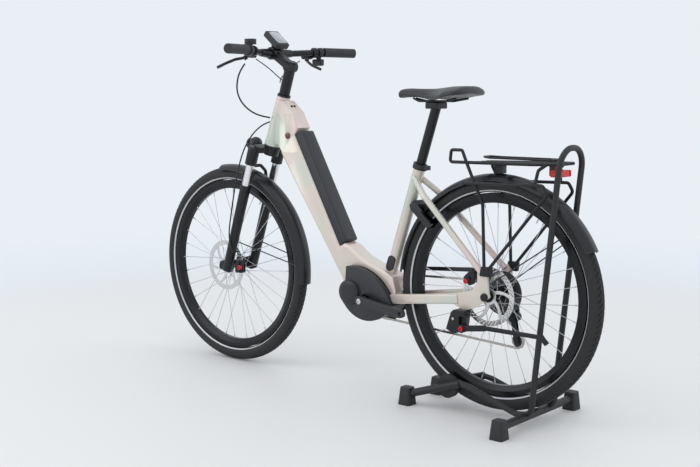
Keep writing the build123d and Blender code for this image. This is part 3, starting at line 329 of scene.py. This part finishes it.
def gridFaces(rows, columns, wrapRows=False, wrapColumns=False, start=0):
    # quads between neighbouring points of a rows by columns grid
    r = np.arange(rows if wrapRows else rows - 1)
    c = np.arange(columns if wrapColumns else columns - 1)
    r, c = np.meshgrid(r, c, indexing="ij")
    rNext, cNext = (r + 1) % rows, (c + 1) % columns
    quads = np.stack([r * columns + c, r * columns + cNext, rNext * columns + cNext, rNext * columns + c], -1)
    return quads.reshape(-1, 4) + start


def turned(profileAlong, profileRadius, origin, axis, steps=48):
    # a surface of revolution: profile (along axis, radius) turned about an axis; closed where a radius is 0
    axis = np.asarray(axis, float) / np.linalg.norm(axis)
    helper = np.array((0, 0, 1.0)) if abs(axis[2]) < 0.9 else np.array((1.0, 0, 0))
    first = np.cross(axis, helper)
    first /= np.linalg.norm(first)
    second = np.cross(axis, first)
    angle = np.linspace(0, 2 * math.pi, steps, endpoint=False)
    along = np.asarray(profileAlong, float)[:, None, None]
    radius = np.asarray(profileRadius, float)[:, None, None]
    ring = np.cos(angle)[None, :, None] * first + np.sin(angle)[None, :, None] * second
    points = np.asarray(origin) + along * axis + radius * ring
    return points.reshape(-1, 3), gridFaces(len(profileAlong), steps, wrapColumns=True)


def addPiece(name, parts, node, material, sharp=38, replaces=(), body=None):
    # one mesh from several (points, faces); it takes its body from a CAD node
    shift, allPoints, allFaces = 0, [], []
    for points, faces in parts:
        allPoints.append(np.asarray(points, float).reshape(-1, 3))
        allFaces.extend([[corner + shift for corner in face] for face in np.asarray(faces, object).tolist()])
        shift += len(allPoints[-1])
    mesh = bpy.data.meshes.new(name)
    mesh.from_pydata(np.concatenate(allPoints).tolist(), [], allFaces)
    mesh.materials.append(finishes[material])
    work = bmesh.new()
    work.from_mesh(mesh)
    bmesh.ops.remove_doubles(work, verts=work.verts, dist=1e-6)
    bmesh.ops.recalc_face_normals(work, faces=work.faces)
    work.to_mesh(mesh)
    work.free()
    mesh.polygons.foreach_set("use_smooth", np.ones(len(mesh.polygons), bool))
    mesh.set_sharp_from_angle(angle=math.radians(sharp))
    piece = bpy.data.objects.new(name, mesh)
    bpy.context.collection.objects.link(piece)
    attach(piece, body or bodyOfNode[node])
    if replaces:
        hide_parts(*replaces)
    return piece


def softened(node, width, segments=3, angle=28.0):
    # a merged copy of a CAD node with its edges rounded, standing for the node
    copy = bpy.data.objects.new(node + "_rounded", frame["nodes"][node].data.copy())
    bpy.context.collection.objects.link(copy)
    work = bmesh.new()
    work.from_mesh(copy.data)
    bmesh.ops.remove_doubles(work, verts=work.verts, dist=1e-5)
    bmesh.ops.dissolve_limit(work, angle_limit=math.radians(1.5), verts=work.verts, edges=work.edges)
    work.to_mesh(copy.data)
    work.free()
    copy.data.materials.clear()
    copy.data.materials.append(finishOfNode[node])
    bevel = copy.modifiers.new("rounding", "BEVEL")
    bevel.width = width
    bevel.segments = segments
    bevel.limit_method = "ANGLE"
    bevel.angle_limit = math.radians(angle)
    bevel.harden_normals = True
    copy.data.polygons.foreach_set("use_smooth", np.ones(len(copy.data.polygons), bool))
    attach(copy, bodyOfNode[node])
    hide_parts(node)
    return copy


def tubeAlong(path, radius, sides=12):
    # a round tube: each path point carries a ring square to the path, turned as little as possible
    path = np.asarray(path, float)
    ahead = np.gradient(path, axis=0)
    ahead /= np.linalg.norm(ahead, axis=1)[:, None]
    across = np.cross(ahead[0], (0.3, 0.9, 0.2))
    frames = []
    for direction in ahead:
        across = across - direction * np.dot(across, direction)
        across /= np.linalg.norm(across)
        frames.append(across)
    frames = np.array(frames)
    other = np.cross(ahead, frames)
    angle = np.linspace(0, 2 * math.pi, sides, endpoint=False)
    ring = np.cos(angle)[None, :, None] * frames[:, None] + np.sin(angle)[None, :, None] * other[:, None]
    points = (path[:, None] + np.reshape(radius, (-1, 1, 1)) * ring).reshape(-1, 3)
    points = np.concatenate([points, path[:1], path[-1:]])
    faces = gridFaces(len(path), sides, wrapColumns=True).tolist()
    last = (len(path) - 1) * sides
    faces += [[len(path) * sides, (k + 1) % sides, k] for k in range(sides)]
    faces += [[len(path) * sides + 1, last + k, last + (k + 1) % sides] for k in range(sides)]
    return points, faces


def turnedPart(profile, origin, axis, steps=40):
    # turned() with its profile as (along, radius) pairs in millimetres
    pairs = np.array(profile, float) / 1000
    return turned(pairs[:, 0], pairs[:, 1], origin, axis, steps)


# cords: each route repeats the CAD's control points, in metres
cords = {
    "brake_hose": {"radius": 0.0028, "stiffness": "stiff", "lay": "hanging", "node": "bar_cables",
                   "route": [(-0.310, -0.196, 1.082), (-0.316, -0.212, 1.060), (-0.325, -0.218, 1.028),
                             (-0.338, -0.208, 0.990), (-0.352, -0.176, 0.956), (-0.362, -0.134, 0.930),
                             (-0.368, -0.092, 0.913), (-0.371, -0.048, 0.903), (-0.365, -0.023, 0.899)]},
    "left_cable": {"radius": 0.0018, "stiffness": "medium", "lay": "hanging", "node": "bar_cables",
                   "route": [(-0.336, -0.118, 1.100), (-0.332, -0.092, 1.086), (-0.322, -0.064, 1.066),
                             (-0.312, -0.040, 1.044), (-0.307, -0.022, 1.030)]},
    "right_cable": {"radius": 0.0018, "stiffness": "medium", "lay": "hanging", "node": "bar_cables",
                    "route": [(-0.338, 0.104, 1.098), (-0.344, 0.074, 1.080), (-0.344, 0.044, 1.060),
                              (-0.340, 0.016, 1.044), (-0.332, -0.004, 1.030), (-0.322, -0.015, 1.021)]},
    "front_hose": {"radius": 0.0025, "stiffness": "stiff", "lay": "hanging", "node": "front_brake_hose",
                   "route": [(-0.379, -0.008, 0.884), (-0.394, -0.019, 0.878), (-0.409, -0.042, 0.859),
                             (-0.421, -0.067, 0.829), (-0.433, -0.087, 0.786), (-0.447, -0.095, 0.736),
                             (-0.463, -0.096, 0.682), (-0.480, -0.094, 0.618), (-0.497, -0.092, 0.548),
                             (-0.508, -0.092, 0.492), (-0.508, -0.089, 0.448), (-0.500, -0.080, 0.412)]},
}


def cordPath(name, route):
    # points read off the route's own smooth spline
    curve = bpy.data.curves.new(name, "CURVE")
    curve.dimensions = "3D"
    curve.resolution_u = 10
    spline = curve.splines.new("NURBS")
    spline.points.add(len(route) - 1)
    for point, place in zip(spline.points, route):
        point.co = (*place, 1)
    spline.order_u = 3
    spline.use_endpoint_u = True
    holder = bpy.data.objects.new(name, curve)
    bpy.context.collection.objects.link(holder)
    line = bpy.data.meshes.new_from_object(holder)
    path = np.array([vertex.co for vertex in line.vertices])
    bpy.data.objects.remove(holder)
    bpy.data.meshes.remove(line)
    return path


def makeCord(name, facts):
    path = cordPath(name + "_line", facts["route"])
    points, faces = tubeAlong(path, facts["radius"])
    mesh = bpy.data.meshes.new(name)
    mesh.from_pydata(points.tolist(), [], faces)
    mesh.polygons.foreach_set("use_smooth", np.ones(len(mesh.polygons), bool))
    mesh.materials.append(finishes["cableJacket"])
    piece = bpy.data.objects.new(name, mesh)
    bpy.context.collection.objects.link(piece)
    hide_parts(facts["node"])
    return piece


cordPieces = {name: makeCord(name, facts) for name, facts in cords.items()}
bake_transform(cordPieces["brake_hose"])
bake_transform(cordPieces["front_hose"])
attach(cordPieces["left_cable"], "steering")
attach(cordPieces["right_cable"], "steering")
print("cords laid")

studio = {"floor": (0.80, 0.79, 0.775), "far": (0.823, 0.863, 0.913), "near": 1.8, "end": 3.6,
          "glowNear": 2.2, "glowEnd": 4.6, "size": 40.0, "tone": "Standard"}
bpy.context.scene.view_settings.view_transform = studio["tone"]


def makeStage():
    # a round floor whose tone drifts with distance from its middle into the glowing backdrop's
    radii = np.concatenate([[0.001], np.linspace(0.5, 6, 12), np.geomspace(8, studio["size"], 8)])
    points, faces = turned(np.zeros(len(radii)), radii, (0, 0, 0), (0, 0, 1), 96)
    mesh = bpy.data.meshes.new("floor")
    mesh.from_pydata(points.tolist(), [], faces[:, ::-1].tolist())
    material = bpy.data.materials.new("floorPaper")
    material.use_nodes = True
    tree = material.node_tree
    shader = tree.nodes["Principled BSDF"]
    shader.inputs["Roughness"].default_value = 0.55
    place = tree.nodes.new("ShaderNodeTexCoord")
    distance = tree.nodes.new("ShaderNodeVectorMath")
    distance.operation = "LENGTH"
    drift = tree.nodes.new("ShaderNodeMapRange")
    drift.interpolation_type = "SMOOTHSTEP"
    drift.inputs["From Min"].default_value = studio["near"]
    drift.inputs["From Max"].default_value = studio["end"]
    tone = tree.nodes.new("ShaderNodeMix")
    tone.data_type = "RGBA"
    tone.inputs["A"].default_value = (*studio["floor"], 1)
    tone.inputs["B"].default_value = (*studio["far"], 1)
    tree.links.new(place.outputs["Object"], distance.inputs[0])
    tree.links.new(distance.outputs["Value"], drift.inputs["Value"])
    tree.links.new(drift.outputs["Result"], tone.inputs["Factor"])
    tree.links.new(tone.outputs["Result"], shader.inputs["Base Color"])
    glow = tree.nodes.new("ShaderNodeEmission")
    glow.inputs["Color"].default_value = (*studio["far"], 1)
    blend = tree.nodes.new("ShaderNodeMixShader")
    farther = tree.nodes.new("ShaderNodeMapRange")
    farther.interpolation_type = "SMOOTHSTEP"
    farther.inputs["From Min"].default_value = studio["glowNear"]
    farther.inputs["From Max"].default_value = studio["glowEnd"]
    tree.links.new(distance.outputs["Value"], farther.inputs["Value"])
    tree.links.new(farther.outputs["Result"], blend.inputs["Fac"])
    tree.links.new(shader.outputs["BSDF"], blend.inputs[1])
    tree.links.new(glow.outputs["Emission"], blend.inputs[2])
    tree.links.new(blend.outputs["Shader"], tree.nodes["Material Output"].inputs["Surface"])
    mesh.materials.append(material)
    floor = bpy.data.objects.new("floor", mesh)
    bpy.context.collection.objects.link(floor)
    world = bpy.data.worlds.new("studioAir")
    world.use_nodes = True
    world.node_tree.nodes["Background"].inputs["Color"].default_value = (*studio["far"], 1)
    world.node_tree.nodes["Background"].inputs["Strength"].default_value = 1.0
    bpy.context.scene.world = world


makeStage()

lights = {
    "overhead": {"place": (0.2, -0.6, 3.6), "aim": (0, 0, 0.4), "size": 3.6, "watts": 22, "tint": (1, 1, 1)},
    "leftFront": {"place": (-2.6, -3.2, 2.2), "aim": (-0.1, 0, 0.6), "size": 2.2, "watts": 26,
                  "tint": (1, 1, 1)},
    "rightRear": {"place": (2.8, 2.6, 2.4), "aim": (0.1, 0, 0.6), "size": 2.4, "watts": 12,
                  "tint": (0.97, 0.99, 1)},
}
for name, facts in lights.items():
    lamp = bpy.data.lights.new(name, "AREA")
    lamp.size = facts["size"]
    lamp.energy = facts["watts"]
    lamp.color = facts["tint"]
    holder = bpy.data.objects.new(name, lamp)
    holder.location = facts["place"]
    aim = Vector(facts["aim"]) - Vector(facts["place"])
    holder.rotation_euler = aim.to_track_quat("-Z", "Y").to_euler()
    bpy.context.collection.objects.link(holder)
print("studio set")

tyre = {"middle": 0.334, "section": 0.0237, "beadAngle": 152, "groove": 0.0013, "blocks": 120, "slant": 0.55,
        "stripe": (0.3165, 0.3206), "stripeOut": 0.012, "ribs": (9.5, 32), "ribHalf": 3, "crossFrom": 9,
        "crossTo": 50, "lineAt": 62, "lineHalf": 3.5, "lineDepth": 0.0003, "around": 960, "across": 48}


def makeTyre(side, axle):
    # a round section from bead to bead, turned about the axle; grooves follow a pattern of turn and sweep,
    # and the faces sunk in them get a darker black as painted shade
    turn = np.linspace(0, 2 * math.pi, tyre["around"], endpoint=False)
    sweep = np.radians(np.linspace(-tyre["beadAngle"], tyre["beadAngle"], tyre["across"]))
    turn, sweep = np.meshgrid(turn, sweep, indexing="ij")
    away = np.abs(np.degrees(sweep))
    phase = turn * tyre["blocks"] / (2 * math.pi) + away / 26 * tyre["slant"]
    cross = (np.abs(phase % 1 - 0.5) > 0.36) & (away > tyre["crossFrom"]) & (away < tyre["crossTo"])
    ribs = np.abs(away - tyre["ribs"][0]) < tyre["ribHalf"]
    ribs |= np.abs(away - tyre["ribs"][1]) < tyre["ribHalf"]
    line = np.where(np.abs(away - tyre["lineAt"]) < tyre["lineHalf"], tyre["lineDepth"], 0)
    out = tyre["section"] - np.where(cross | ribs, tyre["groove"], 0.0) - line
    y = out * np.sin(sweep)
    r = tyre["middle"] + out * np.cos(sweep)
    points = np.stack([axle[0] + r * np.cos(turn), axle[1] + y, axle[2] + r * np.sin(turn)], -1)
    faces = gridFaces(tyre["around"], tyre["across"], True, True)
    piece = addPiece(side + "_tyre_tread", [(points.reshape(-1, 3), faces)], side + "_tyre", "tyreRubber",
                     sharp=50, replaces=(side + "_tyre",))
    piece.data.materials.append(finishes["reflexStripe"])
    piece.data.materials.append(finishes["grooveShadePaint"])
    centres = np.zeros(len(piece.data.polygons) * 3)
    piece.data.polygons.foreach_get("center", centres)
    centres = centres.reshape(-1, 3) - axle
    radius = np.hypot(centres[:, 0], centres[:, 2])
    low, high = tyre["stripe"]
    silver = (radius > low) & (radius < high) & (np.abs(centres[:, 1]) > tyre["stripeOut"])
    fromMiddle = np.hypot(radius - tyre["middle"], centres[:, 1])
    # faces sunk in the tread grooves take slot 2, a darker black: painted shade
    shadedGrooveFaces = fromMiddle < tyre["section"] - tyre["groove"] * 0.7
    slots = np.where(silver, 1, np.where(shadedGrooveFaces, 2, 0))
    piece.data.polygons.foreach_set("material_index", slots.astype(np.int32))


makeTyre("front", frontAxle)
makeTyre("rear", rearAxle)
print("tyres made")

saddle = {"nose": 0.197, "end": 0.482, "dip": 0.0045, "dipWidth": 0.010, "seam": 0.0011, "fill": 0.85}


def makeSaddle():
    # rings along the length: width, top line, thickness and side droop vary with the share u of it
    rings, sides = 110, 80
    kernel = np.hanning(11) / np.hanning(11).sum()
    share = np.linspace(0, 1, rings)

    def along(places, values):
        return np.convolve(np.pad(np.interp(share, places, values), 5, mode="edge"), kernel, "valid")[:, None]

    u = share[:, None]
    t = np.linspace(0, 2 * math.pi, sides, endpoint=False)[None, :]
    tips = np.clip(1 - ((0.045 - u) / 0.045).clip(0) ** 2, 0, 1) ** 0.5
    tips = tips * np.clip(1 - ((u - 0.93) / 0.07).clip(0) ** 2, 0, 1) ** 0.5
    halfWidth = along([0, 0.1, 0.3, 0.45, 0.6, 0.75, 0.88, 1],
                      [0.020, 0.022, 0.026, 0.037, 0.060, 0.082, 0.085, 0.074]) * (0.12 + 0.88 * tips)
    top = along([0, 0.08, 0.3, 0.55, 0.8, 1], [0.994, 0.9985, 1.0005, 1.0, 1.005, 1.007])
    thick = along([0, 0.1, 0.3, 0.55, 0.8, 1], [0.026, 0.028, 0.028, 0.028, 0.030, 0.027])
    thick = thick * (0.3 + 0.7 * tips)
    droop = along([0, 0.1, 0.3, 0.5, 0.65, 0.8, 1], [0.001, 0.003, 0.008, 0.018, 0.020, 0.012, 0.006])
    y = halfWidth * np.sign(np.cos(t)) * np.abs(np.cos(t)) ** 0.7
    lift = np.sign(np.sin(t)) * np.abs(np.sin(t)) ** 0.8
    outward = np.abs(y) / halfWidth
    z = top - 0.014 + thick / 2 * lift - droop * outward ** 2.4
    fade = np.clip((u - 0.18) / 0.15, 0, 1) * np.clip((0.97 - u) / 0.15, 0, 1) * (lift > 0.3)
    z = z - saddle["dip"] * np.exp(-(y / saddle["dipWidth"]) ** 2) * fade
    z = z - saddle["seam"] * np.exp(-((outward - 0.74) * halfWidth / 0.0012) ** 2) * (lift > 0.1)
    x = saddle["nose"] + (saddle["end"] - saddle["nose"]) * u + 0 * t
    points = np.stack([x, y, z], -1).reshape(-1, 3)
    tipPoints = points.reshape(rings, sides, 3)[[0, -1]].mean(axis=1)
    points = np.concatenate([points, tipPoints])
    faces = gridFaces(rings, sides, wrapColumns=True).tolist()
    last = (rings - 1) * sides
    faces += [[rings * sides, (k + 1) % sides, k] for k in range(sides)]
    faces += [[rings * sides + 1, last + k, last + (k + 1) % sides] for k in range(sides)]
    piece = addPiece("saddle_cover", [(points, faces)], "saddle", "saddleVinyl", sharp=80,
                     replaces=("saddle",))


makeSaddle()
print("saddle made")

chain = {"pitch": 0.0127, "half": 0.0038, "waist": 0.0029, "teeth": (38, 15, 11, 11),
         "outer": (0.0019, 0.0028), "inner": (0.0010, 0.00185), "samples": 60}
chainY = float(middle("chain")[1])


def chainLine():
    # even points round the chainring, the cog in use, the guide pulley (crossed) and the tension pulley
    centres = [axle[[0, 2]] for axle in (crankAxle, rearAxle, guideAxle, tensionAxle)]
    senses = (1, 1, -1, 1)
    radii = [chain["pitch"] / (2 * math.sin(math.pi / teeth)) for teeth in chain["teeth"]]
    joins = []
    for k in range(4):
        following = (k + 1) % 4
        span = centres[following] - centres[k]
        r1, r2 = radii[k] * senses[k], radii[following] * senses[following]
        lean = math.atan2(span[1], span[0]) + math.acos((r1 - r2) / math.hypot(*span))
        normal = np.array((math.cos(lean), math.sin(lean)))
        joins.append((centres[k] + r1 * normal, centres[following] + r2 * normal))
    line = []
    for k, (start, end) in enumerate(joins):
        wheel = (k + 1) % 4
        leave = joins[wheel][0]
        first = math.atan2(*(end - centres[wheel])[::-1])
        final = math.atan2(*(leave - centres[wheel])[::-1])
        turn = -((first - final) % (2 * math.pi)) if senses[wheel] > 0 else (final - first) % (2 * math.pi)
        angle = first + np.linspace(0, 1, chain["samples"]) * turn
        arc = centres[wheel] + radii[wheel] * np.stack([np.cos(angle), np.sin(angle)], -1)
        share = np.linspace(0, 1, chain["samples"], endpoint=False)[:, None]
        line.append(start + share * (end - start))
        line.append(arc[:-1])
    line = np.concatenate(line + [line[0][:1]])
    gone = np.concatenate([[0], np.cumsum(np.linalg.norm(np.diff(line, axis=0), axis=1))])
    count = 2 * round(gone[-1] / chain["pitch"] / 2)
    marks = np.linspace(0, gone[-1], count, endpoint=False)
    return np.stack([np.interp(marks, gone, line[:, 0]), np.interp(marks, gone, line[:, 1])], -1)


def makeChain():
    # a pair of waisted plates from pin to pin, by turns outside and inside its neighbours
    pins = chainLine()
    span = np.roll(pins, -1, axis=0) - pins
    along = span / np.linalg.norm(span, axis=1)[:, None]
    across = np.stack([-along[:, 1], along[:, 0]], -1)
    bow = np.radians(np.linspace(-80, 80, 7))
    pitch = float(np.linalg.norm(span, axis=1).mean())
    right = np.stack([pitch + chain["half"] * np.cos(bow), chain["half"] * np.sin(bow)], -1)
    left = np.stack([-chain["half"] * np.cos(bow), -chain["half"] * np.sin(bow)], -1)
    waist = np.array([[pitch / 2, chain["waist"]]])
    outline = np.concatenate([right, waist, left, -waist * (-1, 1)])
    corners = len(outline)
    flat = pins[:, None] + outline[None, :, :1] * along[:, None] + outline[None, :, 1:] * across[:, None]
    outside = (np.arange(len(pins)) % 2 == 0)[:, None]
    parts = []
    walls = gridFaces(2, corners, wrapColumns=True)
    lids = np.stack([np.arange(corners), np.arange(corners)[::-1] + corners])
    starts = (np.arange(len(pins)) * 2 * corners)[:, None, None]
    for side in (-1, 1):
        layers = []
        for edge in (0, 1):
            y = np.where(outside, side * chain["outer"][edge], side * chain["inner"][edge]) + chainY
            layers.append(np.stack([flat[..., 0], np.broadcast_to(y, flat.shape[:2]), flat[..., 1]], -1))
        points = np.stack(layers, 1).reshape(-1, 3)
        parts.append((points, (walls[None] + starts).reshape(-1, 4)))
        parts.append((points, (lids[None] + starts).reshape(-1, corners)))
    addPiece("chain_links", parts, "chain", "oiledSteel", sharp=30, replaces=("chain",))


makeChain()

rotor = {"edge": 0.091, "track": 0.0745, "hub": 0.0265, "bore": 0.017, "thick": 0.0018, "holes": 40,
         "hole": 0.0021, "stagger": 0.36, "rows": (0.0785, 0.0825, 0.0865), "arms": 6, "arm": 0.0052,
         "swirl": 9.0, "steps": 540}


def makeRotor(side, node):
    # a polar grid that keeps the track, the swept arms and the carrier ring, and leaves the holes out
    inner = np.linspace(rotor["bore"], rotor["track"], 30)
    radii = np.concatenate([inner, np.linspace(rotor["track"], rotor["edge"], 20)[1:]])
    steps = rotor["steps"]
    angles = np.linspace(0, 2 * math.pi, steps, endpoint=False)
    centre = middle(node)
    r, a = np.meshgrid(radii, angles, indexing="ij")
    points = np.stack([centre[0] + r * np.cos(a), centre[1] + 0 * r, centre[2] + r * np.sin(a)], -1)
    points = points.reshape(-1, 3)
    faces = gridFaces(len(radii), steps, wrapColumns=True)
    rMid = np.repeat((radii[1:] + radii[:-1]) / 2, steps)
    aMid = np.tile(angles + math.pi / steps, len(radii) - 1)
    armPhase = ((aMid + rotor["swirl"] * (rMid - rotor["hub"])) * rotor["arms"] / (2 * math.pi)) % 1 - 0.5
    onArm = np.abs(armPhase) * 2 * math.pi * rMid / rotor["arms"] < rotor["arm"]
    hole = np.zeros(len(rMid), bool)
    for k, row in enumerate(rotor["rows"]):
        phase = (aMid * rotor["holes"] / (2 * math.pi) + k * rotor["stagger"]) % 1 - 0.5
        hole |= np.hypot(phase * 2 * math.pi * rMid / rotor["holes"], rMid - row) < rotor["hole"]
    keep = (rMid < rotor["hub"]) | onArm | ((rMid > rotor["track"]) & ~hole)
    piece = addPiece(side + "_rotor", [(points, faces[keep])], node, "groundSteel", sharp=30,
                     replaces=(node,))
    plate = piece.modifiers.new("thickness", "SOLIDIFY")
    plate.thickness = rotor["thick"]
    plate.offset = 0


makeRotor("front", "front_disc")
makeRotor("rear", "rear_disc")

# turned fittings: profiles are (along, radius) in millimetres, read outwards from the place along the axis
left = (0, -1, 0)
valveAxis = (-0.5, 0, -0.866)
valvePlace = np.array((0.150, 0, 0.2598))
boltProfile = [(-1, 8), (3.5, 8), (4.5, 7), (4.5, 3.6), (2.2, 3.2), (2.2, 0)]
crankProfile = [(-4, 9), (1.4, 9), (2, 8.2), (2, 5), (0.2, 4.6), (0.2, 0)]
valveProfile = [(-4, 3), (0, 3), (0.2, 2.2), (34, 2.2), (35, 1.4), (38, 1.4), (38, 0)]
fittings = [
    {"name": "rear_caliper_bolt", "node": "rear_caliper", "look": "redAnodised", "at": (0.508, -0.072, 0.418),
     "axis": left, "profile": boltProfile},
    {"name": "kickstand_bolt", "node": "kickstand_leg", "look": "redAnodised", "at": (0.517, -0.109, 0.278),
     "axis": left, "profile": boltProfile},
    {"name": "front_caliper_bolt", "node": "front_caliper", "look": "redAnodised",
     "at": (-0.487, -0.0605, 0.359), "axis": left,
     "profile": [(-1, 9), (4.5, 9), (5.5, 8), (5.5, 3.6), (3, 3.2), (3, 0)]},
    {"name": "side_plug", "node": "frame_fittings", "look": "darkRed", "at": (-0.272, -0.033, 0.838),
     "axis": left, "profile": [(-0.5, 10.5), (0.5, 10.5), (1.2, 9), (1.5, 0)]},
    {"name": "motor_cap", "node": "motor_covers", "look": "glossPlastic", "at": (0.036, -0.070, 0.329),
     "axis": left, "profile": [(-0.5, 38), (1.2, 37.4), (3.0, 32), (4.2, 20), (4.6, 0)]},
    {"name": "crank_bolt_left", "node": "crank_arms", "look": "boltSteel", "at": (0.100, -0.092, 0.309),
     "axis": left, "profile": crankProfile},
    {"name": "crank_bolt_right", "node": "crank_arms", "look": "boltSteel", "at": (0.100, 0.092, 0.309),
     "axis": (0, 1, 0), "profile": crankProfile},
    {"name": "bracket_screw", "node": "kickstand_bracket", "look": "boltSteel", "at": (0.478, -0.096, 0.302),
     "axis": left, "profile": [(-0.5, 4), (1.0, 4), (1.6, 3), (1.6, 0)]},
    {"name": "headlight_lens", "node": "headlight", "look": "lensGlass", "at": (-0.4883, 0, 0.8044),
     "axis": (-1, 0, 0), "profile": [(-1, 20), (0.8, 19.5), (2.2, 14), (2.8, 0)]},
    {"name": "front_valve", "node": "front_rim", "look": "boltSteel", "at": frontAxle + valvePlace,
     "axis": valveAxis, "profile": valveProfile},
    {"name": "rear_valve", "node": "rear_rim", "look": "boltSteel", "at": rearAxle + valvePlace,
     "axis": valveAxis, "profile": valveProfile},
]
for facts in fittings:
    shape = turnedPart(facts["profile"], facts["at"], facts["axis"], 32)
    addPiece(facts["name"], [shape], facts["node"], facts["look"])

screen = {"centre": np.array((-0.352, 0, 1.168)), "tilt": math.radians(40), "half": (0.031, 0.024),
          "lift": 0.0112, "squareness": 0.35}


def makeScreen():
    # a rounded glass on the display's upper face
    ahead = np.array((math.cos(screen["tilt"]), 0, -math.sin(screen["tilt"])))
    up = np.array((math.sin(screen["tilt"]), 0, math.cos(screen["tilt"])))
    angle = np.linspace(0, 2 * math.pi, 48, endpoint=False)
    x = screen["half"][0] * np.sign(np.cos(angle)) * np.abs(np.cos(angle)) ** screen["squareness"]
    y = screen["half"][1] * np.sign(np.sin(angle)) * np.abs(np.sin(angle)) ** screen["squareness"]
    rim = x[:, None] * ahead + y[:, None] * (0, 1, 0)
    layers = [rim - up * 0.0008, rim + up * 0.0004, rim * 0.97 + up * 0.0009, rim * 0.01 + up * 0.001]
    points = screen["centre"] + up * screen["lift"] + np.stack(layers)
    addPiece("display_screen", [(points.reshape(-1, 3), gridFaces(4, 48, wrapColumns=True))], "display",
             "screenGlass")


makeScreen()
print("fittings made")

# rounding width of each node's edges
roundings = {
    "motor_covers": 0.0022, "rear_caliper": 0.0018, "front_caliper": 0.0018, "kickstand_bracket": 0.002,
    "kickstand_leg": 0.0022, "crank_arms": 0.0035, "stem": 0.002, "battery": 0.0025, "display": 0.0015,
    "brake_masters": 0.0015, "bar_controls": 0.0015, "down_tube": 0.002, "motor_bracket": 0.002,
    "chain_stays": 0.002, "fork_lowers": 0.0015, "stand_feet": 0.003, "ring_lock": 0.004,
    "chain_guard": 0.0012, "derailleur": 0.001, "tail_light": 0.001, "frame_fittings": 0.0012,
    "rear_rack": 0.0008, "fork_crown": 0.003, "headlight": 0.0015, "seat_post": 0.0015, "chainring": 0.0006,
    "stand_roller_left": 0.0015, "stand_roller_right": 0.0015, "front_axle": 0.001, "rear_axle": 0.0012,
    "front_hub": 0.0008, "rear_hub": 0.0008,
}
for node, width in roundings.items():
    softened(node, width)
print("edges rounded")
